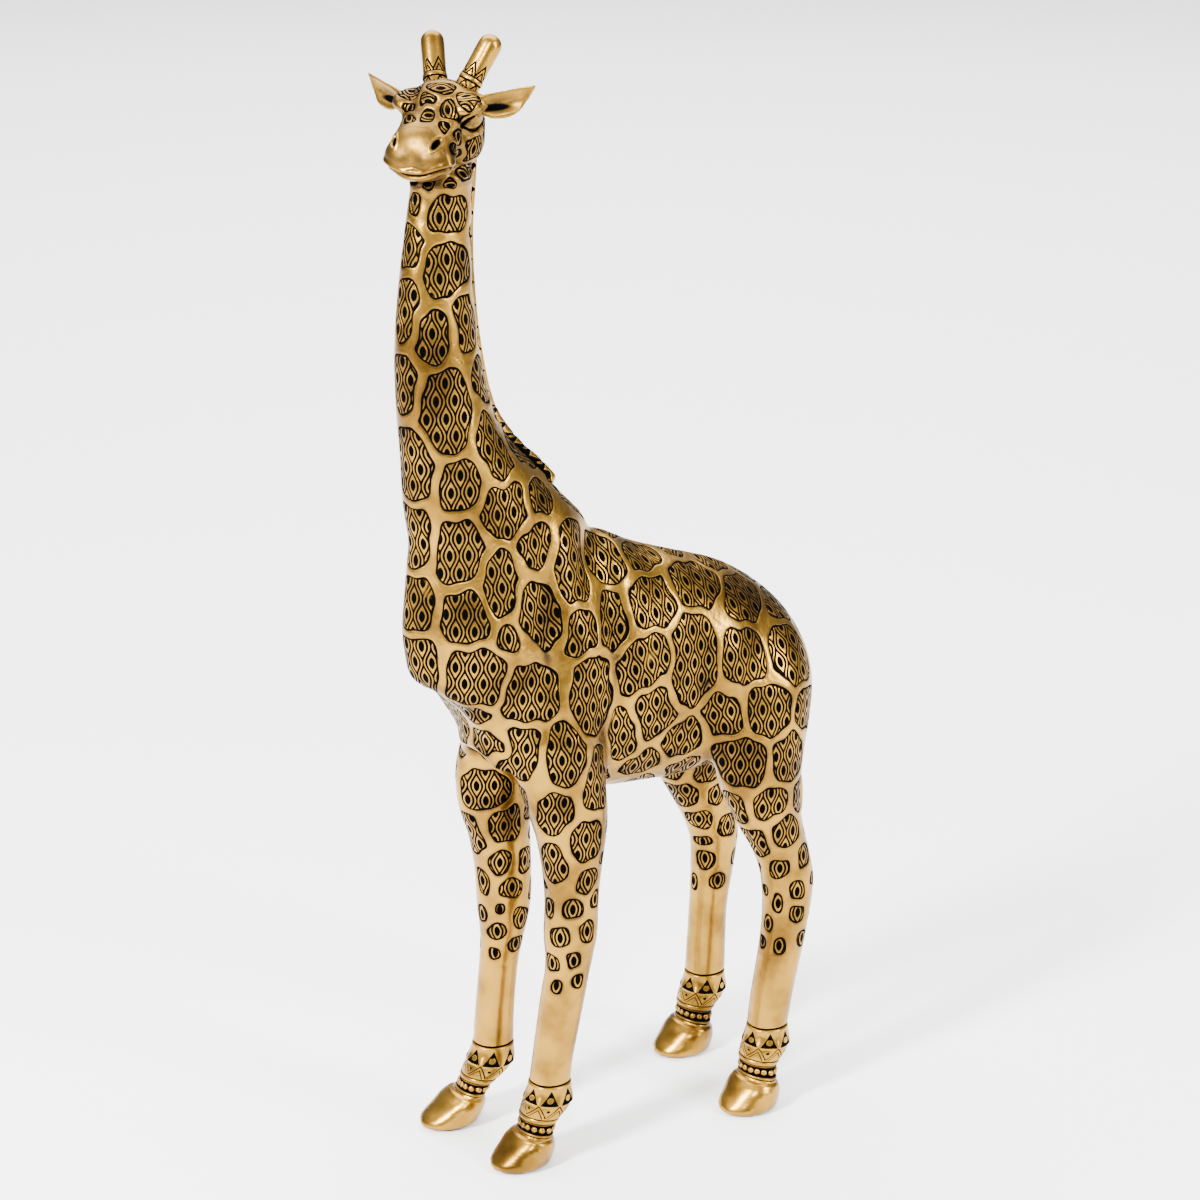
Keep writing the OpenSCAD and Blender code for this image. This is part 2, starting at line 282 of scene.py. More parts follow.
UNDER = [(14.4, 9.8, 466.2), (16.2, 6.4, 464.3), (17.2, 2.4, 463.5),
         (17.6, -1.2, 464.8), (17.6, -3.2, 467.0)]
NOSTRIL = np.array([9.2, 22.6, 460.8])
# Scales for measuring along the side of the head, or along its front.
ON_SIDE, IN_FRONT = np.array([0.3, 1, 1]), np.array([1, 0.3, 1])


def one_side(p):
    q = to_head(p)
    return np.stack([np.abs(q[..., 0]), q[..., 1], q[..., 2]], -1)


def head_field(p):
    q = one_side(p)
    return melt([
        ellipsoid(q, (0, -0.5, 467), (16.4, 14, 14.6)),  # cranium
        ellipsoid(q, (7.4, -0.6, 458.5), (8.4, 10.4, 9.6)),  # cheek
        ellipsoid(q, (0, 12.6, 461.2), (13.2, 12.8, 8.2), 14),  # muzzle
        ellipsoid(q, (6.2, 20.0, 454.8), (7.2, 6.9, 5.8), 6),  # upper lip
        ellipsoid(q, (9.9, 20.4, 454.4), (4.4, 4.0, 4.4), 12),  # its corner
        ellipsoid(q, (0, 18.6, 457.4), (11.6, 7.0, 8.4)),  # its flat front
        ellipsoid(q, (0, 8.0, 465.6), (14.2, 10.8, 7.6), 32),  # bridge of the nose
        ellipsoid(q, (0, 18.2, 449.2), (9.0, 8.2, 3.2), 8),  # lower lip and chin
        ellipsoid(q, (13.2, 2.4, 473.0), (6.4, 8.6, 4)),  # brow
        ellipsoid(q, (0, 1.5, 476.6), (9.6, 8, 5.4)),  # crown between the horns
        ellipsoid(q, (0, 0, 440), (10.6, 13.4, 14)),  # throat
    ], 1.5)


def head_carving(p):
    """How far the head's skin moves in or out for its finer features, and how dark it is there."""
    q = one_side(p)
    d = q - EYE
    lateral_part = step(9, 13, q[..., 0])
    tilted = d[..., 2] + 0.26 * d[..., 1]
    out = -2.0 * lateral_part * np.exp(-((d[..., 1] - 1) / 8) ** 4 - (tilted / 5.0) ** 4)
    ink = np.zeros(len(q))
    for path, size, reach in ((BROW, 1.3, 1.9), (UPPER_LID, 1.5, 1.0), (LOWER_LID, 1.3, 0.9)):
        far, t = path_distance(q, path, ON_SIDE)
        out = out + size * lateral_part * bell(far, reach) * taper(t, 0.1, 0.8) ** 0.5
    far, _ = path_distance(q, CREASE, ON_SIDE)
    out = out - 0.9 * lateral_part * bell(far, 0.75)
    ink = np.maximum(ink, step(0.85, 0.45, far) * lateral_part * 0.9)
    ball = np.sqrt((d[..., 1] / 5.4) ** 2 + (tilted / 3.1) ** 2)
    out = out + 2.1 * lateral_part * np.exp(-ball ** 4)
    for path, depth, half in ((SLIT, 1.2, 1.15), (UNDER, 0.6, 0.65)):
        far, t = path_distance(q, path, ON_SIDE)
        out = out - depth * lateral_part * bell(far, 0.7)
        ink = np.maximum(ink, step(half * (1.2 - 0.6 * t), half * (0.8 - 0.5 * t), far) * lateral_part)
    # The mouth: a long curve round the front, highest at its corners.
    line = 448.4 + 3.6 * step(2, 16.5, q[..., 0]) + 0.5 * step(14.5, 17, q[..., 0])
    front = step(17.5, 20.5, q[..., 1] + 0.12 * (14 - q[..., 0])) * step(16, 14.6, q[..., 0])
    up = q[..., 2] - line
    out = out + front * (0.9 * bell(up - 1.3, 1.2) - 1.2 * bell(up, 0.6) + 0.5 * bell(up + 1.6, 1.1))
    ink = np.maximum(ink, front * step(0.5, 0.2, np.abs(up)) * 0.92)
    # The fold behind the muzzle, and the ridge down its front.
    far, _ = path_distance(q, [(11.5, 15.4, 450.5), (12.4, 13.4, 455), (12.4, 12.4, 459), (12.0, 13.6, 463)])
    out = out - 0.8 * bell(far, 1.9)
    far, _ = path_distance(q, [(0, 26.4, 451), (0, 25.4, 455), (0, 23.5, 459)], IN_FRONT)
    out = out + 0.2 * bell(far, 1.6) * step(10, 16, q[..., 1])
    d = q - NOSTRIL
    hole = np.sqrt((d[..., 0] / 1.35) ** 2 + (d[..., 1] / 4.5) ** 2
                   + ((d[..., 2] - 0.5 * d[..., 0]) / 1.75) ** 2)
    out = out - 2.0 * np.exp(-hole ** 4) + 0.3 * bell(hole - 1.5, 0.4)
    ink = np.maximum(ink, step(1.12, 0.95, hole))
    return out, ink


def onto_head(p, n, rounds=1):
    """Moves points of the upper head onto the sculpted form, melting into the neck."""
    q = to_head(p)
    w = np.maximum(step(NECK_TOP + 1, NECK_TOP + 12, p[:, 2]),
                   step(10, 15, q[:, 1]) * step(NECK_TOP + 0.3, NECK_TOP + 2, p[:, 2]))
    at = np.nonzero(w > 0)[0]
    x, h = p[at].copy(), 0.15
    for _ in range(rounds):
        f = head_field(x)
        g = np.stack([(head_field(x + h * e) - f) / h for e in np.eye(3)], -1)
        x = x - np.clip(f, -3, 3)[:, None] * g / np.maximum(np.sum(g * g, 1), 0.2)[:, None]
    p, n = p.copy(), n.copy()
    p[at] += w[at, None] * (x - p[at])
    n[at] = unit(n[at] * (1 - w[at, None]) + w[at, None] * unit(g))
    return p, n


P, _ = onto_head(P, N, 5)
P = relax(P, E, 6, 0.3 * step(NECK_TOP - 4, NECK_TOP + 2, P[:, 2]))
N = vertex_normals(P, T)

# ---------------------------------------------------------------- forms of the body
# Ridges (+) and hollows (-) of the left side: path, height in mm, half width in mm, and whether
# the right side has it too.
FORMS = [
    # Shoulder blade, in front of it and behind it.
    ([(17, -32, 296), (24, -33, 276), (29, -34, 255), (31, -30, 236), (32, -26, 218)], 1.7, 7, True),
    ([(21, -45, 292), (26, -46, 270), (28, -50, 250), (29, -47, 232)], -1.4, 6, True),
    ([(18, -18, 288), (24, -14, 268), (29, -14, 245), (31, -14, 222), (31, -10, 203)], -1.7, 5, True),
    ([(22, -84, 262), (27, -66, 246), (29, -50, 238)], 1.0, 6, True),  # point of the shoulder
    # Crease over the arm.
    ([(4, -88, 219), (14, -84, 217), (25, -75, 214), (31, -60, 211), (34, -42, 210)], -1.3, 4.5, True),
    ([(32, -50, 197), (34, -38, 196), (34, -30, 200)], 1.4, 8, True),  # arm
    ([(0, -104, 300), (0, -105, 270), (0, -104, 240), (0, -96, 215)], 1.2, 6, False),  # keel of the chest
    ([(12, -97, 288), (15, -96, 262), (17, -93, 240)], -1.0, 6, True),
    ([(30, -2, 196), (31, 22, 190), (31, 42, 194)], -0.9, 6, True),  # under the ribs
    ([(33, 50, 232), (33, 44, 212), (34, 42, 190), (33, 44, 172)], 1.2, 6, True),  # front of the thigh
    ([(29, 34, 240), (31, 32, 218), (31, 31, 200)], -1.1, 7, True),  # flank
    ([(26, 78, 230), (36, 78, 208), (40, 74, 186)], 0.9, 8, True),  # buttock
    ([(0, -20, 285), (0, 20, 268), (0, 55, 257), (0, 82, 243)], 0.7, 4, False),  # spine
]
FORM_HEIGHT, FORM_WIDTH = 1.6, 1.25  # all of them are taken this much stronger and wider

# The breast ends higher between the forelegs than the leg tops beside it.
tuck = 10.5 * step(236, 205, P[:, 2]) * step(180, 203, P[:, 2]) * step(-55, -80, P[:, 1])
lift = (8 * step(14, 7, np.abs(P[:, 0])) * step(-50, -64, P[:, 1])
        * step(235, 212, P[:, 2]) * step(150, 185, P[:, 2]))
P = P + np.stack([0 * tuck, tuck, lift], 1)
P = relax(P, E, 36, 0.6 * step(252, 242, P[:, 2]) * step(184, 194, P[:, 2]) * step(-48, -60, P[:, 1]))
N = vertex_normals(P, T)
for path, height, width, both in FORMS:
    for sign in ((1, -1) if both else (1,)):
        far, along = path_distance(P * np.array([sign, 1, 1]), path)
        P = P + N * (FORM_HEIGHT * height * bell(far, FORM_WIDTH * width) * taper(along, 0.12, 0.76))[:, None]


def in_crease(p):
    """1 along the middle of the hollows above, where painted shade darkens the colour along with the patina.
    """
    out = np.zeros(len(p))
    for path, height, width, both in FORMS:
        if height < -0.95:
            far, along = path_distance(np.stack([np.abs(p[:, 0]), p[:, 1], p[:, 2]], 1), path)
            out = np.maximum(out, bell(far, 0.55 * width) * taper(along, 0.1, 0.8))
    return out


# Under the mane the skin sinks a little, so that the mane stands clear of it.
mane_points = cad_mesh("mane")[0]
ridge = mane_points[np.abs(mane_points[:, 0]) < 0.3]
ridge = ridge[np.argsort(ridge[:, 2])]
ridge_z = np.linspace(ridge[:, 2].min(), ridge[:, 2].max(), 40)
ridge_y = np.array([ridge[np.abs(ridge[:, 2] - z) < 4.5, 1].max() for z in ridge_z])
under = (step(5.2, 3.4, np.abs(P[:, 0])) * step(-7.5, -5, P[:, 1] - np.interp(P[:, 2], ridge_z, ridge_y))
         * step(ridge_z[0] + 1, ridge_z[0] + 4, P[:, 2]) * step(ridge_z[-1], ridge_z[-1] - 3, P[:, 2]))
P = P - N * (2.4 * under)[:, None]
N = vertex_normals(P, T)

# ---------------------------------------------------------------- cutting the skin at the casting joints

LABEL = {name: i for i, name in enumerate(
    ["torso", "neck", "head"] + [f"{k}_{l}" for k in ("leg", "anklet", "hoof") for l in LEGS])}
LEG_STUFF = 99  # everything under the torso, until it is told apart
labels = np.zeros(len(T), int)


def cut(points, normals, tris, labels, chosen, at, facing, new):
    """Cuts the chosen triangles along a plane. Those on the side it faces get a new label."""
    side = (points - np.asarray(at)) @ np.asarray(facing)
    touched = np.zeros(len(points), bool)
    touched[tris[chosen].ravel()] = True
    near = touched & (np.abs(side) < 0.33 * VOXEL)
    points = points.copy()
    points[near] -= side[near, None] * np.asarray(facing)
    side[near] = 0
    s = side[tris]
    crossing = np.nonzero(chosen & (s.max(1) > 0) & (s.min(1) < 0))[0]
    over = chosen & (s.min(1) >= 0) & (s.max(1) > 0)
    labels = labels.copy()
    labels[over] = new
    more_p, more_n, seen, add_t, add_l = [], [], {}, [], []
    for i in crossing:
        ring = tris[i].tolist()
        halves = {1: [], -1: []}
        for a, b in zip(ring, ring[1:] + ring[:1]):
            sa, sb = side[a], side[b]
            if sa >= 0:
                halves[1].append(a)
            if sa <= 0:
                halves[-1].append(a)
            if sa * sb < 0:
                key = (min(a, b), max(a, b))
                if key not in seen:
                    t = side[key[0]] / (side[key[0]] - side[key[1]])
                    more_p.append(points[key[0]] * (1 - t) + points[key[1]] * t)
                    more_n.append(normals[key[0]] * (1 - t) + normals[key[1]] * t)
                    seen[key] = len(points) + len(more_p) - 1
                halves[1].append(seen[key])
                halves[-1].append(seen[key])
        for sign, ring in halves.items():
            for k in range(1, len(ring) - 1):
                add_t.append((ring[0], ring[k], ring[k + 1]))
                add_l.append(new if sign > 0 else labels[i])
    keep = np.ones(len(tris), bool)
    keep[crossing] = False
    return (np.concatenate([points, more_p]), unit(np.concatenate([normals, more_n])),
            np.concatenate([tris[keep], add_t]), np.concatenate([labels[keep], add_l]))


def middle(tris):
    return (P[tris[:, 0]] + P[tris[:, 1]] + P[tris[:, 2]]) / 3


everything = np.ones(len(T), bool)
P, N, T, labels = cut(P, N, T, labels, everything, (0, 0, NECK_FOOT), (0, 0, 1), LABEL["neck"])
P, N, T, labels = cut(P, N, T, labels, labels == LABEL["neck"], (0, 0, NECK_TOP), (0, 0, 1), LABEL["head"])
P, N, T, labels = cut(P, N, T, labels, labels == LABEL["torso"], (0, 0, LEG_TOP), (0, 0, -1), LEG_STUFF)
hoof_joint = {}
for l in LEGS:
    m = middle(T)
    mine = (labels == LEG_STUFF) & ((m[:, 0] > 0) == ("left" in l)) & ((m[:, 1] < HALFWAY) == ("front" in l))
    labels[mine] = LABEL[f"leg_{l}"]
    P, N, T, labels = cut(P, N, T, labels, labels == LABEL[f"leg_{l}"], (0, 0, ANKLE), (0, 0, -1),
                          LABEL[f"anklet_{l}"])
    # The joint between ankle and hoof leans: higher at the toe than at the heel.
    ankle = cad_mesh(f"anklet_{l}")[0]
    ankle = ankle[ankle[:, 2] < 22]
    back = np.array([0, (ankle[:, 1].min() + ankle[:, 1].max()) / 2, 13.6])
    facing = np.array([0, -math.sin(math.radians(13)), -math.cos(math.radians(13))])
    hoof_joint[l] = (back, facing)
    P, N, T, labels = cut(P, N, T, labels, labels == LABEL[f"anklet_{l}"], back, facing, LABEL[f"hoof_{l}"])

P, N, T, labels = subdivide(P, N, T, labels)

# ---------------------------------------------------------------- patches
# Laid out one by one on the left side and the chest. Half width, half height and turn of each patch
# are those of its outline on the skin.

# Left side: (y, z, half width, half height, turn in degrees).
SIDE = [
    (-83, 431, 9, 8, 0), (-84, 408, 10, 11, 12), (-92, 382, 7, 12, 0), (-76, 387, 6.5, 13, 16),
    (-88, 350, 11, 17, 0), (-67, 360, 6.5, 10, 20), (-66, 334, 7, 14, 20), (-83, 319, 9, 10, 0),
    (-64, 305, 11, 11.5, 4), (-44, 308, 7, 7, 30), (-84, 291, 12, 13, 0), (-51, 289, 8, 9.5, 8),
    (-31, 279, 10, 17, -10), (-13, 276, 9, 13, 25), (9, 272, 12, 9, 0), (-68, 276, 9, 14, 8),
    (-51, 259, 9.5, 17, 32), (-84, 262, 10.5, 11.5, 0), (-33, 249, 9.5, 10, 0), (-15, 249, 8, 14.5, -14),
    (6, 255, 14, 12, 15), (32, 257, 15, 11, 0), (57, 247, 13, 11, 30), (79, 238, 10, 9, 30),
    (-81, 234, 13, 15.5, -6), (-57, 225, 12.5, 14, 0), (-28, 222, 12, 18, -12), (-2, 229, 15, 12, 32),
    (25, 226, 11.5, 22, -4), (51, 224, 11.5, 12.5, 0), (77, 219, 11.5, 14, 8), (6, 205, 10, 14, 24),
    (-9, 196, 6, 15, 16), (21, 189, 11, 10, 0), (40, 197, 8, 12, 34), (61, 197, 11, 12, 0),
    (83, 193, 9, 10, 0), (47, 175, 12, 12, 0), (71, 174, 9.5, 12, 0), (-61, 199, 9, 15, -22),
    (-42, 198, 10, 15, 12), (-27, 183, 8, 15, 14), (4, 180, 11, 7, 0),
]
# Chest and the front of the neck: (x, z, half width, half height, turn).
FRONT = [
    (2, 436, 5, 6, 0), (2, 417, 6, 9, 0), (3, 391, 6, 13, 0), (3, 361, 7, 13, 0), (5, 328, 9, 16, 0),
    (3, 296, 9, 14, 6), (4, 267, 9, 12, 0), (4, 239, 11, 14, 6), (13, 219, 12, 6.5, -20),
    (16, 201, 11, 7, -14),
]
# Legs: (height, azimuth, half width, half height). 0 is the giraffe's left and -90 its front.
ON_LEG = {
    "front_left": [
        (169, -56, 8, 11), (156, 0, 9, 9.5), (144, -66, 7, 9.5), (137, 5, 6, 6), (124, -30, 5, 5.2),
        (125, 32, 3, 5), (123, -88, 4, 5), (111, 8, 5, 6), (110, -55, 5, 5.2), (98, -78, 4.6, 4.4),
        (100, -22, 3.6, 5), (90, -2, 3, 4)],
    "front_right": [
        (170, -45, 11.5, 10), (152, -14, 9, 9), (146, -86, 8, 12), (132, -34, 6, 7), (131, 28, 5, 7),
        (117, -12, 6.2, 5.6), (121, -77, 4, 7), (105, -86, 4.4, 5), (102, 16, 6, 6), (98, -46, 6, 4.6),
        (90, 10, 5, 4), (87, -48, 3.5, 3)],
    "rear_left": [
        (152, -20, 8.8, 7.8), (151, -84, 7, 9.4), (137, -2, 8.4, 7.6), (134, -74, 7.4, 9), (124, 27, 4.6, 6),
        (119, -44, 5, 5.4), (108, -10, 5, 5.6), (100, -58, 3.4, 5.2), (95, -5, 4.8, 5), (89, -82, 3, 4.3),
        (83, 25, 3.4, 4.2)],
    "rear_right": [
        (137, -72, 10, 9), (136, 4, 5.2, 5.7), (121, -55, 6.6, 6.3), (118, 15, 6, 6), (110, -60, 5.4, 3.7),
        (99, -56, 5, 6), (90, -18, 4, 4), (88, -90, 2.6, 4)],
}
# Head: (sideways, forwards, height, half width, half height, turn, turn of the net, on both sides).
ON_HEAD = [
    (3, 7.7, 480.3, 6.4, 4.4, 0, 90, False), (-11.1, 6, 477.8, 5.4, 4, 10, 70, False),
    (13.4, 6.3, 477, 4.4, 3.4, -25, 60, False), (-0.5, 11.8, 475.3, 4.2, 3.3, 0, 84, False),
    (8.2, 11.8, 472.8, 3.9, 4.8, 15, 10, False), (1.6, 15.4, 470.4, 4, 3.1, 0, 84, False),
    (-8.6, 12.4, 472, 2.7, 2.6, 20, 0, False), (-6.4, 15.6, 468.6, 3.1, 2.7, -25, 70, False),
    (9.4, 15.3, 467.2, 2.6, 4.1, 15, 0, False), (13.3, 12.7, 463, 3.2, 4.6, 15, 0, True),
    (12, 16.2, 458.2, 1.8, 2.8, 0, 0, True), (15, 3.6, 456.3, 3.7, 4.8, -10, 0, True),
    (12.4, 10.6, 453, 3.2, 4.2, -15, 10, True), (11, 3.4, 445.8, 4.6, 3.4, 25, 50, True),
    (7.6, 9.2, 442.4, 4.4, 2.5, 10, 80, True), (-0.6, 14.3, 443, 4.2, 2.4, 0, 90, False),
    (14.5, -6, 463, 3.6, 5, 0, 0, True), (9.5, -9, 473, 4.4, 4, 0, 60, True),
    (5.5, -12.5, 463, 3.6, 5, 0, 0, True), (12.5, -7, 452, 4, 4.4, 0, 0, True),
    (4.5, -3, 481.4, 4.4, 4, 0, 80, True), (5.5, -12, 452, 4, 4.4, 0, 0, True),
]
LAST_SPOT = np.array([86, 84, 79, 84])  # on each of LEGS, plain skin begins a little below
BAND, HEAD_BAND = 3.0, 1.2  # width of the gold between patches, on the body and on the head
COLUMN, ROW = 3.95, 14.8  # the net: half the distance between eyes in a row, and its period upwards


def leg_of(p):
    """Which leg each point would belong to, 0 to 3 in the order of LEGS."""
    return 2 * (p[:, 1] > HALFWAY) + (p[:, 0] < 0)


def nearest_on_side(y, z, sign):
    ok = (P[:, 0] * sign > 0) & (N[:, 0] * sign > 0.15)
    return np.argmin(np.where(ok, (P[:, 1] - y) ** 2 + (P[:, 2] - z) ** 2 - 0.02 * P[:, 0] * sign, 1e9))


def nearest_in_front(x, z):
    ok = (N[:, 1] < -0.1) & (P[:, 2] < NECK_TOP)
    return np.argmin(np.where(ok, (P[:, 0] - x) ** 2 + (P[:, 2] - z) ** 2 + 0.03 * (P[:, 1] + 110), 1e9))


def nearest_on_leg(leg, z, azimuth):
    near = (leg_of(P) == LEGS.index(leg)) & (np.abs(P[:, 2] - min(z, LEG_TOP - 3)) < 2.5)
    axis = box_middle(P[near])
    d = P[:, :2] - axis
    a = math.radians(azimuth)
    miss = np.abs(d[:, 0] * math.sin(a) - d[:, 1] * math.cos(a))
    ok = (np.abs(P[:, 2] - z) < 1.6) & (leg_of(P) == LEGS.index(leg)) & (d @ [math.cos(a), math.sin(a)] > 3)
    return np.argmin(np.where(ok, miss + 0.1 * np.linalg.norm(d, axis=1), 1e9))


def nearest_on_head(sideways, forwards, height):
    return np.argmin(np.sum((P - from_head([sideways, forwards, height])) ** 2, 1))


# Columns of a patch's row: its middle, its three directions, its sizes, and the two directions of its net.
ACROSS, UPWARDS, OUT, HALF_W, HALF_H, SPREAD, NET_X, NET_Y = 3, 6, 9, 12, 13, 14, 15, 18


class Patches:
    """The patches as frames on the skin: middle, two directions along the skin, and the way out."""

    def __init__(self):
        self.rows = []

    def add(self, at, half_w, half_h, turn=0.0, spread=1.6, net_turn=0.0, fineness=1.0):
        p, n = P[at], N[at]
        up = np.array([0, 0, 1.0]) if abs(n[2]) < 0.92 else np.array([-np.sign(p[0] * n[2] + 1e-9), 0, 0])
        v = unit(up - n * (up @ n))
        u = np.cross(v, n)
        if n[0] < 0:  # a patch on the right is a mirror image
            u = -u
        a = math.radians(turn)
        b = 0.3 * a + math.radians(net_turn)  # the net inside leans less than the patch
        self.rows.append(np.concatenate([
            p, u * math.cos(a) + v * math.sin(a), v * math.cos(a) - u * math.sin(a), n,
            [half_w, half_h, spread],
            fineness * (u * math.cos(b) + v * math.sin(b)), fineness * (v * math.cos(b) - u * math.sin(b))]))

    def fields(self, points, rows=None):
        """Signed distance from every patch's outline."""
        r = np.array(self.rows) if rows is None else rows
        d = points[:, None, :] - r[None, :, :3]
        w, h = r[:, HALF_W], r[:, HALF_H]
        k = 0
        for i, reach in ((ACROSS, w), (UPWARDS, h), (OUT, np.sqrt(w * h))):
            x = np.abs(np.einsum("ijk,jk->ij", d, r[:, i:i + 3])) / reach
            k = k + x * x * np.sqrt(x)
        return np.sqrt(np.einsum("ijk,ijk->ij", d, d)) * (1 - 1 / np.maximum(k ** 0.4, 1e-3))


WAVES = rng.normal(size=(5, 3)) * np.array([0.55, 0.55, 0.42])
PHASES = rng.uniform(0, 6.28, (5, 3))


def wander(p):
    """A slow push this way and that, so that outlines look cut by hand."""
    return sum(np.sin((p @ k)[:, None] + f) for k, f in zip(WAVES, PHASES)) * 0.42


def patch_values(p):
    """Depth inside a patch (negative on the gold between patches), and the place in its net, all in mm."""
    edge, net = np.full(len(p), -9.0), np.zeros((len(p), 3))
    rows, phase = np.array(patches.rows), np.array(patches.phase)
    order = np.argsort(p[:, 2])
    for start in range(0, len(p), 6000):
        at = order[start:start + 6000]
        x = p[at]
        near = np.nonzero((rows[:, 2] > min(x[0, 2], 440) - 45) & (rows[:, 2] < x[-1, 2] + 45))[0]
        f = patches.fields(x + wander(x) * np.clip(0.25 + (x[:, 2:] - 70) / 110, 0.25, 1), rows[near])
        i, own = np.arange(len(x)), np.argmin(f, 1)
        first = f[i, own]
        e = np.exp(-(f - first[:, None]) / 1.1)
        e[i, own] = 0
        second = first - 1.1 * np.log(np.maximum(e.sum(1), 1e-9))
        own = near[own]
        a = (second - first - np.interp(x[:, 2], [NECK_TOP, NECK_TOP + 5], [BAND, HEAD_BAND])) / 2
        b = rows[own, SPREAD] - first
        low = np.minimum(a, b)
        edge[at] = low - 0.6 * np.log(np.exp(-(a - low) / 0.6) + np.exp(-(b - low) / 0.6))
        d = x - rows[own, :3]
        for k, axis in enumerate((NET_X, NET_Y)):
            net[at, k] = np.sum(d * rows[own, axis:axis + 3], 1) + phase[own, k]
        net[at, 2] = phase[own, 2]
    bare = skin_without_patches(p)
    return np.minimum(edge, -bare * 6 + 9 * (1 - bare)), net


def skin_without_patches(p):
    """1 where the skin is plain: the lower legs."""
    last = LAST_SPOT[leg_of(p)] - 7.5
    low = step(last + 0.5, last - 0.5, p[:, 2])
    return np.where(p[:, 2] < 150, low, 0.0)


patches = Patches()
for y, z, hw, hh, turn in SIDE:
    patches.add(nearest_on_side(y, z, 1), hw, hh, turn)
for x, z, hw, hh, turn in FRONT:
    patches.add(nearest_in_front(x, z), hw, hh, turn, 1.2)
for y, z, hw, hh, turn in SIDE:  # the far side, which no one sees in the picture of the left side
    wobble = rng.uniform(-2.5, 2.5, 3)
    patches.add(nearest_on_side(y + wobble[0], z + wobble[1], -1), hw, hh, turn + 3 * wobble[2])
for leg, rows in ON_LEG.items():
    for z, azimuth, hw, hh in rows:
        patches.add(nearest_on_leg(leg, z, azimuth), hw, hh, rng.uniform(-8, 8), 0.35)

for sideways, forwards, height, hw, hh, turn, net_turn, both in ON_HEAD:
    for sign in ((1, -1) if both else (1,)):
        patches.add(nearest_on_head(sign * sideways, forwards, height), hw + 0.9, hh + 0.9, turn, 0.3,
                    net_turn, 1.2)

# Wherever the skin is still bare of patches, more are added, the widest gap first.
sample = np.nonzero((P[:, 2] < NECK_TOP - 4) & (P[:, 2] > LAST_SPOT[leg_of(P)] + 1))[0][::5]
gap = patches.fields(P[sample]).min(1)
on_leg = P[sample, 2] < 156
need = np.where(on_leg, 5.2, 7.4)
for _ in range(260):
    score = gap - need
    i = int(np.argmax(score))
    if score[i] < 0:
        break
    z = P[sample[i], 2]
    most = np.interp(z, [85, 110, 140, 165, 200], [3.6, 5, 7.5, 9.5, 12])
    r = float(np.clip(gap[i] - np.interp(z, [100, 160], [2.2, 3.2]), 2.4, most))
    patches.add(sample[i], r * rng.uniform(0.85, 1), r * rng.uniform(1, 1.2), rng.uniform(-25, 25),
                0.35 if z < 150 else 1.8)
    one = Patches()
    one.rows = patches.rows[-1:]
    gap = np.minimum(gap, one.fields(P[sample])[:, 0])
patches.phase = []
for row in patches.rows:
    small = row[HALF_W] < 7 or row[2] > NECK_TOP
    sideways, upwards = (0, 0) if small else (rng.choice([0, COLUMN]), rng.uniform(-3, 3))
    patches.phase.append((sideways, upwards, rng.uniform()))


def relief(edge):
    """The gold between patches stands proud and round-edged, with a cut line round each patch."""
    return 0.10 * step(0.9, -0.6, edge) - 0.26 * bell(edge - 0.4, 0.45)


# ---------------------------------------------------------------- materials

class Nodes:
    """Short names for making a material's nodes."""

    def __init__(self, name):
        self.material = bpy.data.materials.new(name)
        self.material.use_nodes = True
        self.tree = self.material.node_tree
        self.shader = self.tree.nodes["Principled BSDF"]

    def put(self, value, socket):
        if isinstance(value, bpy.types.NodeSocket):
            self.tree.links.new(value, socket)
        else:
            socket.default_value = value

    def new(self, kind, inputs=(), **settings):
        """A node with its settings, and its inputs by position or by name."""
        node = self.tree.nodes.new("ShaderNode" + kind)
        for key, value in settings.items():
            setattr(node, key, value)
        for key, value in (inputs.items() if isinstance(inputs, dict) else enumerate(inputs)):
            self.put(value, node.inputs[key])
        return node

    def math(self, op, a, b=0.0, c=0.0):
        return self.new("Math", (a, b, c), operation=op).outputs[0]

    def mul(self, a, b):
        return self.math("MULTIPLY", a, b)

    def sub(self, a, b):
        return self.math("SUBTRACT", a, b)

    def mul_add(self, a, b, c):
        return self.math("MULTIPLY_ADD", a, b, c)

    def size_of(self, a):
        return self.math("ABSOLUTE", a)

    def value(self, name, output="Fac"):
        return self.new("Attribute", attribute_name=name).outputs[output]

    def parts(self, name):
        return self.new("SeparateXYZ", [self.value(name, "Vector")]).outputs

    def noise(self, per_metre, detail=3.0, rough=0.55, stretch=None):
        where = self.new("TexCoord").outputs["Object"]
        if stretch:
            where = self.new("Mapping", {"Scale": stretch, "Vector": where}).outputs[0]
        return self.new("TexNoise", {"Scale": per_metre, "Detail": detail, "Roughness": rough,
                                     "Vector": where}).outputs["Fac"]

    def ramp(self, x, a, b, low=0.0, high=1.0):
        return self.new("MapRange", (x, a, b, low, high), interpolation_type="SMOOTHSTEP").outputs[0]

    def fall(self, x, a, b):
        """Smooth drop from 1 at a to 0 at b."""
        return self.ramp(x, a, b, 1.0, 0.0)

    def mix(self, share, a, b):
        return self.new("Mix", {"Factor": share, 6: a, 7: b}, data_type="RGBA").outputs[2]

    def bump(self, height, strength, depth, normal=None):
        node = self.new("Bump", {"Strength": strength, "Distance": depth, "Height": height})
        if normal is not None:
            self.put(normal, node.inputs["Normal"])
        return node.outputs[0]


GOLD, DEEP_GOLD = (0.37, 0.198, 0.025, 1), (0.14, 0.070, 0.010, 1)
# The first colour below is the dark of the patina, also used for painted shade; the second is the black ink.
PATINA_AND_SHADE_COLOUR, INK = (0.030, 0.018, 0.009, 1), (0.0003, 0.0003, 0.0004, 1)
SWAY, RIBBON, LINE = 1.32, 0.82, 1.02  # how far the ribbons swing, their half width, and the lines' width
EYE_HALF = (1.32, 2.6)  # of the almond in each opening


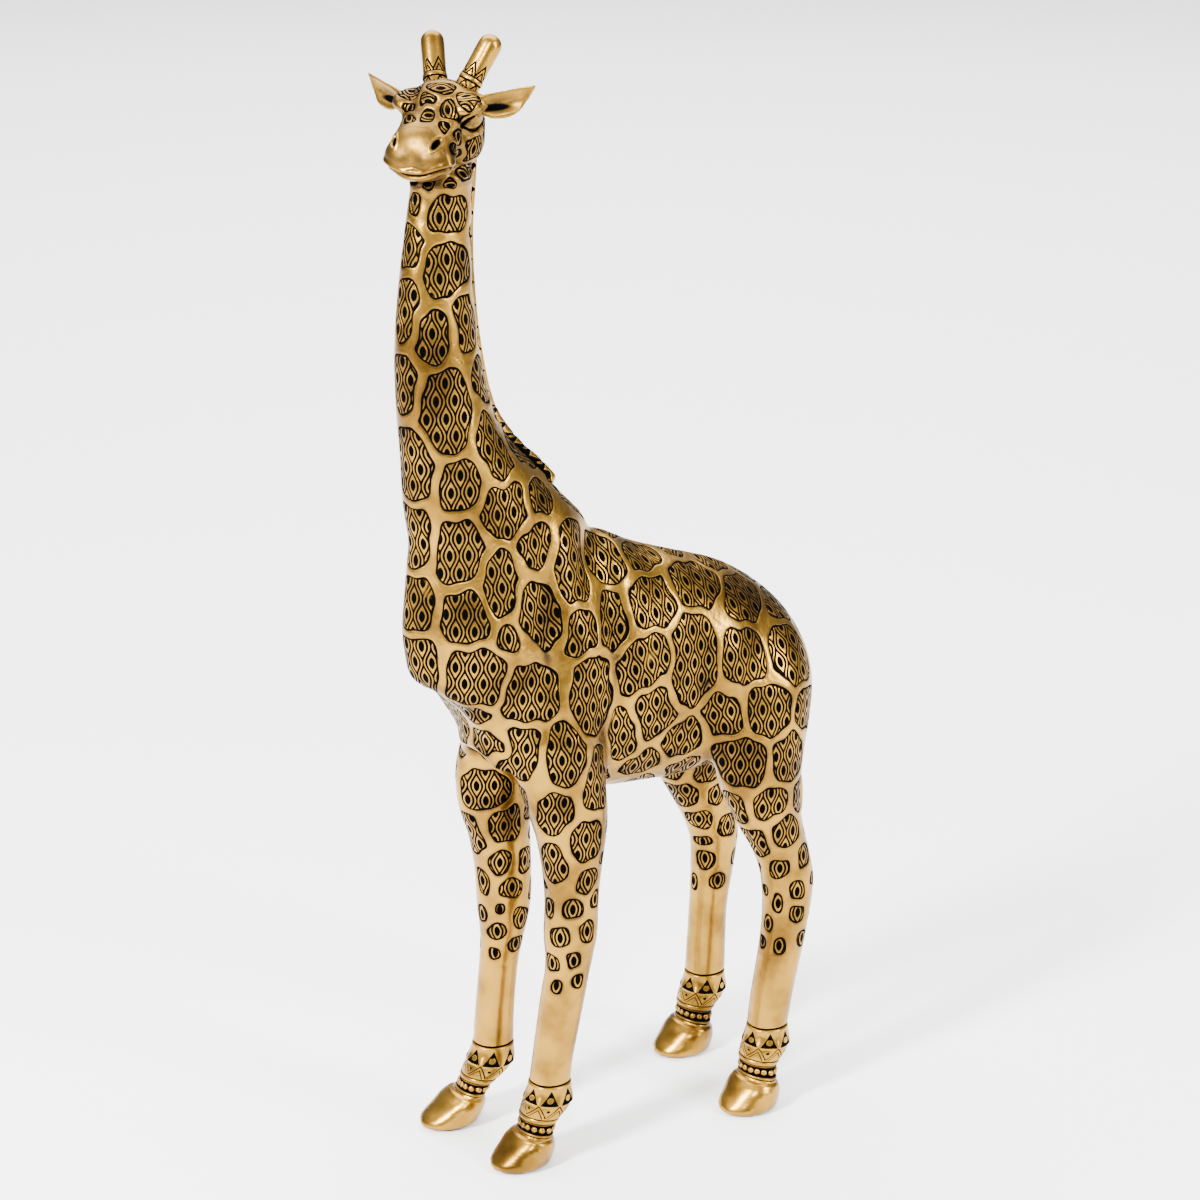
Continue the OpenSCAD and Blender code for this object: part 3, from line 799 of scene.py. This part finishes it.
def net_lines(k):
    """Black lines of the ogee net: paired wavy ribbons with an almond eye in each opening."""
    x_mm, y_mm, _ = k.parts("net")
    x, y = k.math("DIVIDE", x_mm, COLUMN), k.math("DIVIDE", y_mm, ROW)
    cell = k.math("FLOOR", x)
    across = k.sub(k.sub(x, cell), 0.5)
    parity = k.math("FLOORED_MODULO", cell, 2.0)
    sway = k.mul(k.math("COSINE", k.mul(y, 2 * math.pi)), SWAY / COLUMN)
    sway = k.mul(sway, k.mul_add(parity, -2.0, 1.0))
    off = k.mul(k.size_of(k.sub(across, sway)), COLUMN)
    rib = k.size_of(k.sub(off, RIBBON))
    lines = k.fall(rib, LINE / 2 - 0.07, LINE / 2 + 0.1)
    near = k.math("ROUND", x)
    ex = k.mul(k.size_of(k.sub(x, near)), COLUMN)
    shifted = k.mul_add(k.math("FLOORED_MODULO", near, 2.0), 0.5, y)
    ey = k.mul(k.sub(k.math("FRACT", k.math("ADD", shifted, 0.5)), 0.5), ROW)
    lens = k.math("ADD", k.math("POWER", k.math("DIVIDE", ex, EYE_HALF[0]), 1.5),
                  k.math("POWER", k.math("DIVIDE", k.size_of(ey), EYE_HALF[1]), 2.0))
    eye = k.fall(lens, 0.92, 1.08)
    return k.math("MAXIMUM", lines, eye)


CUFF, TRIANGLES, BEADS = 26.5, 7, 16  # length of the anklet's pattern in mm, and its counts


def stroke(k, off, half):
    """A line of the given half width where off is 0."""
    return k.fall(k.size_of(off), half - 0.07, half + 0.07)


def any_of(k, *marks):
    out = marks[0]
    for mark in marks[1:]:
        out = k.math("MAXIMUM", out, mark)
    return out


def round_frame(k, count):
    """From a band's round frame: how far from the nearest of count middles (0 to 0.5), and the way along."""
    c, s, along = k.parts("round")
    turn = k.mul_add(k.math("ARCTAN2", s, c), count / (2 * math.pi), count)
    return k.size_of(k.sub(k.math("FRACT", turn), 0.5)), along


def length(k, x, y):
    return k.math("SQRT", k.math("ADD", k.math("POWER", x, 2.0), k.math("POWER", y, 2.0)))


def anklet_marks(k):
    """Rings, triangles with a gold dot, a doubled zigzag with black dots, and the bead band. In mm down."""
    a, t = round_frame(k, TRIANGLES)
    down = k.mul(t, CUFF)
    aside = k.mul(a, 7.6)

    def spot(at):
        return length(k, aside, k.sub(down, at))

    inside = k.sub(k.mul(k.sub(down, 2.5), 0.47), aside)
    triangle = k.mul(k.ramp(inside, -0.05, 0.1), k.fall(down, 9.5, 9.65))
    triangle = k.mul(triangle, k.ramp(spot(7.0), 1.15, 1.3))
    zigzag = k.mul(k.sub(down, k.mul_add(a, -10.4, 15.0)), 0.595)
    second = k.mul(stroke(k, k.sub(zigzag, 1.1), 0.2), k.fall(down, 15.4, 15.6))
    band = k.mul(k.ramp(down, 19.2, 19.4), k.fall(down, 24.0, 24.2))
    return any_of(k, stroke(k, k.sub(down, 0.75), 0.45), triangle,
                  k.mul(stroke(k, zigzag, 0.24), k.ramp(down, 9.6, 9.7)), second,
                  k.fall(spot(11.9), 0.55, 0.7), stroke(k, k.sub(down, 16.2), 0.27),
                  stroke(k, k.sub(down, 18.6), 0.27), band, stroke(k, k.sub(down, 25.3), 0.24))


def horn_marks(k):
    """A double ring, with nested triangles over and under it. In mm up from the skull."""
    a, up = round_frame(k, 6)
    over = k.mul(k.sub(up, k.mul_add(a, -10.0, 12.4)), 0.43)
    above = k.ramp(up, 6.9, 7.0)
    nested = stroke(k, k.math("ADD", over, 1.15), 0.32)
    under = k.mul(k.sub(up, k.mul_add(a, -8.0, 4.4)), 0.5)
    below = k.fall(up, 4.3, 4.4)
    return any_of(k, stroke(k, k.sub(up, 4.6), 0.36), stroke(k, k.sub(up, 6.7), 0.36),
                  k.mul(above, any_of(k, stroke(k, over, 0.38), nested)),
                  k.mul(below, any_of(k, stroke(k, under, 0.36),
                                      stroke(k, k.math("ADD", under, 1.15), 0.32))))


MANE_PITCH = 9.6  # mm from tooth to tooth


def mane_marks(k):
    """Black triangles standing on the skin, each with a gold dot. along and over the skin, in mm."""
    along, over, _ = k.parts("net")
    a = k.size_of(k.sub(k.math("FRACT", k.math("DIVIDE", along, MANE_PITCH)), 0.5))
    tooth = k.sub(k.mul_add(a, -7.4, 3.4), over)
    ring = length(k, k.mul(a, MANE_PITCH), k.sub(over, 1.0))
    return k.mul(k.ramp(tooth, -0.1, 0.15), k.ramp(ring, 0.7, 0.85))


def gold_material(name, patterned=False, masked=False, marks=None):
    """Antique gold over a cast skin: with the framed nets, with inked features, or with a band's marks."""
    k = Nodes(name)
    broad, fine, grit = k.noise(38, 3), k.noise(240, 4, 0.6), k.noise(1500, 2)
    gold = k.mix(k.ramp(broad, 0.38, 0.70), GOLD, DEEP_GOLD)
    # Darker towards the dark colour by a per-point share: patina in the hollows, and painted shade in
    # creases, on undersides, round the eyes and at the roots of horns, ears and mane.
    hollow = k.value("hollow")
    smudge = k.ramp(k.noise(95, 5, 0.65), 0.44, 0.66)
    patina_and_shade_mix = k.mul(k.ramp(hollow, 0.05, 0.9), k.mul_add(smudge, 0.5, 0.5))
    waves, wave_height = k.noise(120, 3, 0.55), 0.9
    inks = []
    if patterned:
        edge = k.value("edge")
        wave_height = k.mul_add(k.ramp(edge, -5, -3), 2.0, wave_height)  # the lower legs are smooth
        inside = k.ramp(edge, 0.6, 0.8)
        outline = k.mul(k.ramp(edge, -0.12, 0.1), k.fall(edge, 0.72, 0.98))
        worn = k.ramp(k.noise(55, 3), 0.66, 0.76, 1.0, 0.6)
        inks += [k.mul(k.mul(net_lines(k), inside), worn), outline]
        beside = k.mul(k.ramp(edge, -1.3, 0.2), k.fall(edge, 0.2, 1.6))
        dusk = k.mul(inside, k.mul_add(smudge, 0.4, 0.1))
        patina_and_shade_mix = k.math("MAXIMUM", patina_and_shade_mix, k.mul(beside, k.mul_add(smudge, 0.75, 0.12)))
        patina_and_shade_mix = k.math("MAXIMUM", patina_and_shade_mix, dusk)
    if masked:
        inks.append(k.ramp(k.value("ink"), 0.35, 0.65))
    if marks:
        inks.append(marks(k))
    colour = k.mix(patina_and_shade_mix, gold, PATINA_AND_SHADE_COLOUR)
    rough = k.mul_add(fine, 0.12, 0.24)
    height = k.mul_add(waves, wave_height, k.mul(fine, 0.16))
    if inks:
        ink = any_of(k, *inks)
        colour = k.mix(ink, colour, INK)
        rough = k.mul_add(ink, 0.3, rough)
        k.put(k.sub(1.0, ink), k.shader.inputs["Metallic"])
        height = k.mul_add(ink, -1.0, height)
    else:
        k.shader.inputs["Metallic"].default_value = 1.0
    k.shader.inputs["Specular IOR Level"].default_value = 0.01
    k.put(k.mul_add(patina_and_shade_mix, 0.2, rough), k.shader.inputs["Roughness"])
    k.put(colour, k.shader.inputs["Base Color"])
    k.put(k.bump(height, 0.55, 0.0003, k.bump(grit, 0.06, 0.0002)), k.shader.inputs["Normal"])
    return k.material


def hidden_material(name, one, other, metallic, stretch, per_metre, rough):
    """For the parts inside: two tones mixed by a noise."""
    k = Nodes(name)
    grain = k.noise(per_metre, 4, 0.6, stretch)
    k.put(k.mix(grain, one, other), k.shader.inputs["Base Color"])
    k.shader.inputs["Metallic"].default_value = metallic
    k.put(k.mul_add(grain, 0.2, rough), k.shader.inputs["Roughness"])
    k.put(k.bump(grain, 0.3, 0.0002), k.shader.inputs["Normal"])
    return k.material


plain_gold = gold_material("gold_plain")
net_gold = gold_material("gold_with_nets", patterned=True, masked=True)
inked_gold = gold_material("gold_inked", masked=True)
anklet_gold = gold_material("gold_anklet", marks=anklet_marks)
horn_gold = gold_material("gold_horn", marks=horn_marks)
mane_gold = gold_material("gold_mane", marks=mane_marks)
steel = hidden_material("rod_steel", (0.42, 0.42, 0.44, 1), (0.26, 0.26, 0.28, 1), 1.0, (8, 8, 0.5), 300, 0.3)
felt = hidden_material("pad_felt", (0.02, 0.02, 0.022, 1), (0.045, 0.042, 0.04, 1), 0.0, (1, 1, 1), 1400, 0.8)


# ---------------------------------------------------------------- pieces

def piece_from(name, points, tris, material, nodes, values):
    """A shown piece with smooth shading and its per-point values, riding on the root body."""
    me = bpy.data.meshes.new(name)
    me.vertices.add(len(points))
    me.vertices.foreach_set("co", (points * MM).astype(np.float32).ravel())
    me.loops.add(3 * len(tris))
    me.loops.foreach_set("vertex_index", tris.astype(np.int32).ravel())
    me.polygons.add(len(tris))
    me.polygons.foreach_set("loop_start", np.arange(0, 3 * len(tris), 3, dtype=np.int32))
    me.update(calc_edges=True)
    me.validate()
    me.shade_smooth()
    for key, data in values.items():
        vector = data.ndim == 2
        a = me.attributes.new(key, "FLOAT_VECTOR" if vector else "FLOAT", "POINT")
        a.data.foreach_set("vector" if vector else "value", data.astype(np.float32).ravel())
    me.materials.append(material)
    o = add_object(name, me)
    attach(o, "root")
    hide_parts(*nodes)


def with_caps(points, tris, values):
    """Closes each open end with a flat cap whose points are its own, so the joint's edge stays crisp."""
    out_p, out_t, n = [points], [tris], len(points)
    out_v = {k: [v] for k, v in values.items()}
    for loop in loops_of(tris):
        ring = points[loop]
        m = len(loop)
        out_p += [ring, ring.mean(0, keepdims=True)]
        out_t.append(np.array([(n + (k + 1) % m, n + k, n + m) for k in range(m)]))
        for k, v in values.items():
            out_v[k] += [v[loop], v[loop[:1]]]
        n += m + 1
    return np.concatenate(out_p), np.concatenate(out_t), {k: np.concatenate(v) for k, v in out_v.items()}


fine_edges = edges_of(T)
# How deep each point lies in a hollow of the skin; the colour is darkened there, as patina and as painted
# shade.
hollow_all = np.clip(np.sum((relax(P, fine_edges, 60) - P) * N, 1), 0, 2)


def add_beads(leg, places):
    """A row of flattened beads round one anklet."""
    rings, sides = 5, 10
    dome = [(math.sin(a) * math.cos(b), math.sin(a) * math.sin(b), math.cos(a))
            for a in np.linspace(0.02, math.pi - 0.02, rings + 1)
            for b in np.arange(sides) * 2 * math.pi / sides]
    faces = [(r * sides + k, (r + 1) * sides + k, (r + 1) * sides + (k + 1) % sides)
             for r in range(rings) for k in range(sides)]
    faces += [(r * sides + k, (r + 1) * sides + (k + 1) % sides, r * sides + (k + 1) % sides)
              for r in range(rings) for k in range(sides)]
    points, tris = [], []
    for at, out in places:
        u = unit(np.cross(out, [0, 0, 1.0]))
        local = np.array(dome) * [1.5, 1.5, 0.9]
        tris.append(np.array(faces) + sum(len(x) for x in points))
        points.append(at + out * 0.12 + local @ np.stack([u, np.cross(out, u), out]))
    points = np.concatenate(points)
    piece_from(f"beads_{leg}", points, np.concatenate(tris), plain_gold, (f"anklet_{leg}",),
               {"hollow": np.full(len(points), 0.12)})


for name, i in LABEL.items():
    used = np.unique(T[labels == i])
    p, n, t = take(P, N, T[labels == i])
    values = {"hollow": hollow_all[used]}
    if name == "head":
        p, n, t = subdivide(*onto_head(p, n), t)
        p, n = onto_head(p, n)
        w = np.maximum(step(NECK_TOP + 1, NECK_TOP + 6, p[:, 2]), step(10, 15, to_head(p)[:, 1]))
        edge, net = patch_values(p)
        edge = np.where(edge > 0, 1.45 * edge, edge)  # finer outlines than on the body
        carved, ink = head_carving(p)
        p = p + n * (w * carved + relief(edge))[:, None]
        q = one_side(p)
        # Painted shadow under the brow round the upper lid; the head is also darker all over, as patina, and
        # in its carved-in places, as patina with painted shade.
        shadow = bell(path_distance(q, UPPER_LID, ON_SIDE)[0], 3.2) * step(9, 13, q[:, 0])
        values = {"hollow": np.clip(0.66 - carved + 0.5 * shadow, 0, 1), "edge": edge, "net": net, "ink": ink}
        material = net_gold
    elif name.startswith("anklet"):
        leg = name.split("_", 1)[1]
        back, facing = hoof_joint[leg]
        p, n, t = subdivide(p, n, t)
        beyond, down = np.maximum(-(p - back) @ facing, 0), np.maximum(ANKLE - p[:, 2], 0)
        t_down = down / (down + beyond)
        mm = t_down * CUFF
        heights = range(0, 27, 2)
        level = [box_middle(p[np.abs(mm - at) < 2]) for at in heights]
        centre = np.stack([np.interp(mm, heights, [c[i] for c in level]) for i in (0, 1)], 1)
        c, s_ = unit(p[:, :2] - centre).T
        a8 = np.abs(np.mod(np.arctan2(s_, c) * TRIANGLES / (2 * math.pi) + TRIANGLES, 1) - 0.5)
        out = (0.45 * step(1.1, 1.7, mm) * step(10.4, 9.4, mm) - 0.45 * bell(mm - 0.75, 0.45)
               + 0.3 * step(3, 9.4, mm) * step(9.9, 9.5, mm) * step(0.25, 0.5, a8)
               + 0.25 * bell(mm - 17.4, 0.9) - 0.5 * step(18.9, 19.5, mm) * step(24.3, 23.8, mm)
               + 0.2 * bell(mm - 24.7, 0.4) - 0.25 * bell(mm - 25.3, 0.3) - 0.25 * bell(mm - 18.6, 0.3)
               - 0.25 * bell(mm - 16.2, 0.3))
        p = p + n * out[:, None]
        hollow = step(14.5, 16, mm) * 0.25 + 0.5 * step(18.6, 19.4, mm) * step(25, 24, mm)
        values = {"hollow": np.clip(hollow, 0, 1), "round": np.stack([c, s_, t_down], 1)}
        material = anklet_gold
        beads = []
        for i in range(BEADS):
            f = 2 * math.pi * (i + 0.3) / BEADS
            near = np.argmin((c - math.cos(f)) ** 2 * 60 + (s_ - math.sin(f)) ** 2 * 60 + (mm - 21.7) ** 2)
            beads.append((p[near], n[near]))
        add_beads(leg, beads)
    elif name.startswith("hoof"):
        back, facing = hoof_joint[name.split("_", 1)[1]]
        beyond = (p - back) @ facing  # mm past the joint with the anklet
        middle_at = box_middle(p)
        out = (0.8 * step(0, 1.2, beyond) + 0.9 * bell(beyond - 4.5, 4)) * step(0, 3, p[:, 2])
        p = p + n * out[:, None]
        toe = unit(np.array([-0.35, -1.0]))
        across = (p[:, :2] - middle_at) @ np.array([toe[1], -toe[0]])
        nick = bell(across, 0.9) * step(3.2, 0.8, p[:, 2]) * step(4, 8, (p[:, :2] - middle_at) @ toe)
        p = p - n * (1.0 * nick)[:, None]
        values = {"hollow": np.clip(values["hollow"] * 0.4, 0, 1), "ink": nick}
        material = inked_gold
    else:
        edge, net = patch_values(p)
        p = p + n * relief(edge)[:, None]
        # Painted shade: the undersides of the body and the middles of the creases are darkened, on top of the
        # patina of the hollows.
        underside = step(-0.35, -0.95, n[:, 2]) * step(130, 150, p[:, 2])
        dark = 0.1 + values["hollow"] + 0.75 * in_crease(p) + 0.5 * underside
        values.update(edge=edge, net=net, ink=np.zeros(len(p)), hollow=np.clip(dark, 0, 1))
        material = net_gold
    p, t, values = with_caps(p, t, values)
    piece_from("cast_" + name, p, t, material, (name,), values)

# ---------------------------------------------------------------- horns, ears, mane and tail

def soft_skin(name, size, rounds):
    """A small casting's own even skin, softened."""
    p, t = voxel_skin([name], size)
    p = relax(p, edges_of(t), rounds)
    return p, vertex_normals(p, t), t


def own_frame(p):
    """Middle and directions of a shape: across its thickness, its width and its length."""
    middle_at = p.mean(0)
    _, axes = np.linalg.eigh((p - middle_at).T @ (p - middle_at))
    return middle_at, axes.T


lateral_3d = np.append(lateral, 0)
for side in ("left", "right"):
    p, n, t = soft_skin(f"horn_{side}", 0.6, 8)
    middle_at, (_, _, along) = own_frame(cad_mesh(f"horn_{side}")[0])
    along = along * np.sign(along[2])
    up = (p - middle_at) @ along
    up = up - up.min() - 7
    out = p - middle_at - ((p - middle_at) @ along)[:, None] * along
    first = unit(np.cross(along, from_head([0, 1, 0]) - from_head([0, 0, 0])))
    second = np.cross(along, first)
    c, s_ = unit(np.stack([out @ first, out @ second], 1)).T
    ring = (0.28 * step(4.5, 4.9, up) * step(6.8, 6.4, up)
            - 0.2 * bell(up - 4.5, 0.3) - 0.2 * bell(up - 6.8, 0.3))
    p = (p + out * (0.14 + 0.06 * bell(up - 20, 7))[:, None] + lateral_3d * (1.9 if side == "right" else 0.6)
         + n * ring[:, None])
    # Painted shade darkens the horn at its root, where it meets the skull, and a little over its lower part.
    piece_from(f"horn_skin_{side}", p, t, horn_gold, (f"horn_{side}",),
               {"hollow": 0.15 + 0.7 * step(4, 0, up) + 0.25 * step(13, 8, up),
                "round": np.stack([c, s_, up], 1)})

    p, n, t = soft_skin(f"ear_{side}", 0.45, 7)
    middle_at, (out, across, along) = own_frame(p)
    forward = from_head([0, 1, 0]) - from_head([0, 0, 0])
    out = out * np.sign(out @ forward)
    along = along * np.sign(along @ (middle_at - from_head([0, 0, 474])))
    across = across * np.sign(across[2])
    way, high = (p - middle_at) @ along, (p - middle_at) @ across
    cup = bell(high + 0.6 + 0.03 * way, 2.6) * step(12, 4, way) * step(-14, -7, way)
    facing = step(0.1, 0.6, n @ out)
    p = p - out * (1.3 * cup * facing)[:, None] + n * (0.35 * facing * bell(np.abs(high) - 4.6, 1.2))[:, None]
    mark = facing * bell(high + 1.6 + 0.14 * way, 2.1) * bell(way + 2, 9.5)
    # Painted shade with the patina: darker inside the cup and towards the root, where the ear meets the head.
    piece_from(f"ear_skin_{side}", p, t, inked_gold, (f"ear_{side}",),
               {"hollow": np.clip(0.3 + 0.9 * cup * facing + 0.6 * step(-6, -13, way), 0, 1),
                "ink": 0.86 * mark})

p, n, t = soft_skin("mane", 0.6, 5)
way = np.concatenate([[0], np.cumsum(np.hypot(np.diff(ridge_z), np.diff(ridge_y)))])
slope = np.gradient(ridge_y, ridge_z)
tilt = np.interp(p[:, 2], ridge_z, slope)
lean = 1 / np.sqrt(1 + tilt ** 2)
below = (np.interp(p[:, 2], ridge_z, ridge_y) - p[:, 1]) * lean  # mm under the ridge line
along = np.interp(p[:, 2], ridge_z, way) + below * tilt * lean
over = 3.9 - np.maximum(below, 0)
tooth = np.abs(np.mod(along / MANE_PITCH, 1) - 0.5)
p = p + n * (0.9 + 0.25 * step(0.2, -0.2, 3.4 - 7.4 * tooth - over))[:, None]
# Painted shade along the mane's foot, where it meets the neck.
piece_from("mane_skin", p, t, mane_gold, ("mane",),
           {"hollow": 0.5 * step(1.2, 0, over), "net": np.stack([along, over, 0 * over], 1)})

TUFT_TOP = 154
p, n, t = soft_skin("tail", 0.6, 6)
tuft = step(158, 146, p[:, 2])
turned = np.arctan2(p[:, 1] - 100, p[:, 0])
strand = np.sin(9 * turned + 0.12 * p[:, 2] + 0.8 * np.sin(0.09 * p[:, 2]))
p = p + n * (tuft * 0.28 * strand - 0.25 * bell(p[:, 2] - TUFT_TOP, 0.8))[:, None]
piece_from("tail_skin", p, t, inked_gold, ("tail",),
           {"hollow": np.clip(0.1 - 0.5 * tuft * strand, 0, 1), "ink": 0.9 * bell(p[:, 2] - TUFT_TOP, 0.8)})

for name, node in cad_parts.items():
    if "rod" in name or "pad" in name:
        node.data.materials.clear()
        node.data.materials.append(steel if "rod" in name else felt)

# ---------------------------------------------------------------- stage

FAR = 9000  # mm from the statue to the floor's edges
corners = [(-FAR, -FAR, 0), (FAR, -FAR, 0), (FAR, FAR, 0), (-FAR, FAR, 0)]
floor_me = mesh_from("floor", corners, [(0, 1, 2, 3)])
add_object("floor", floor_me)
fm = bpy.data.materials.new("floor")
fm.use_nodes = True
fm.node_tree.nodes["Principled BSDF"].inputs["Base Color"].default_value = (0.9, 0.9, 0.9, 1)
fm.node_tree.nodes["Principled BSDF"].inputs["Roughness"].default_value = 0.9
floor_me.materials.append(fm)


def softbox(name, at, to, size, power):
    """A large square lamp aimed at a point."""
    light = bpy.data.lights.new(name, "AREA")
    light.shape, light.size, light.size_y = "RECTANGLE", size[0], size[1]
    light.energy = power
    o = add_object(name, light)
    o.location = at
    o.rotation_euler = (Vector(to) - Vector(at)).to_track_quat("-Z", "Y").to_euler()


softbox("key", (0.2, -1.1, 0.95), (0, 0, 0.28), (0.2, 0.6), 74)
softbox("right", (1.3, 0.75, 0.8), (0, 0, 0.25), (0.22, 0.9), 40)
softbox("front", (1.35, -0.95, 1.35), (0, 0, 0.27), (0.16, 0.35), 34)
softbox("behind", (-1.6, 1.0, 2.6), (-1.8, 1.2, 0), (4.0, 4.0), 430)

world = bpy.data.worlds.new("world")
bpy.context.scene.world = world
world.use_nodes = True
tree = world.node_tree
sky = tree.nodes["Background"]
place = tree.nodes.new("ShaderNodeSeparateXYZ")
shade = tree.nodes.new("ShaderNodeMapRange")
tree.links.new(tree.nodes.new("ShaderNodeTexCoord").outputs["Generated"], place.inputs[0])
tree.links.new(place.outputs[2], shade.inputs[0])
shade.inputs[3].default_value, shade.inputs[4].default_value = 0.2, 1.0  # dimmer at the horizon than above
tree.links.new(shade.outputs[0], sky.inputs[1])
sky.inputs[0].default_value = (1, 1, 1, 1)

# ---------------------------------------------------------------- camera

cam_data = bpy.data.cameras.new("camera")
cam_data.lens, cam_data.sensor_width = 86.5, 36
cam = add_object("camera", cam_data)
turn, dip = math.radians(57.19), math.radians(18.815)
cam.location = (1.001, -0.6495, 0.656)
look = Vector((-math.sin(turn) * math.cos(dip), math.cos(turn) * math.cos(dip), -math.sin(dip)))
cam.rotation_euler = look.to_track_quat("-Z", "Y").to_euler()
bpy.context.scene.camera = cam
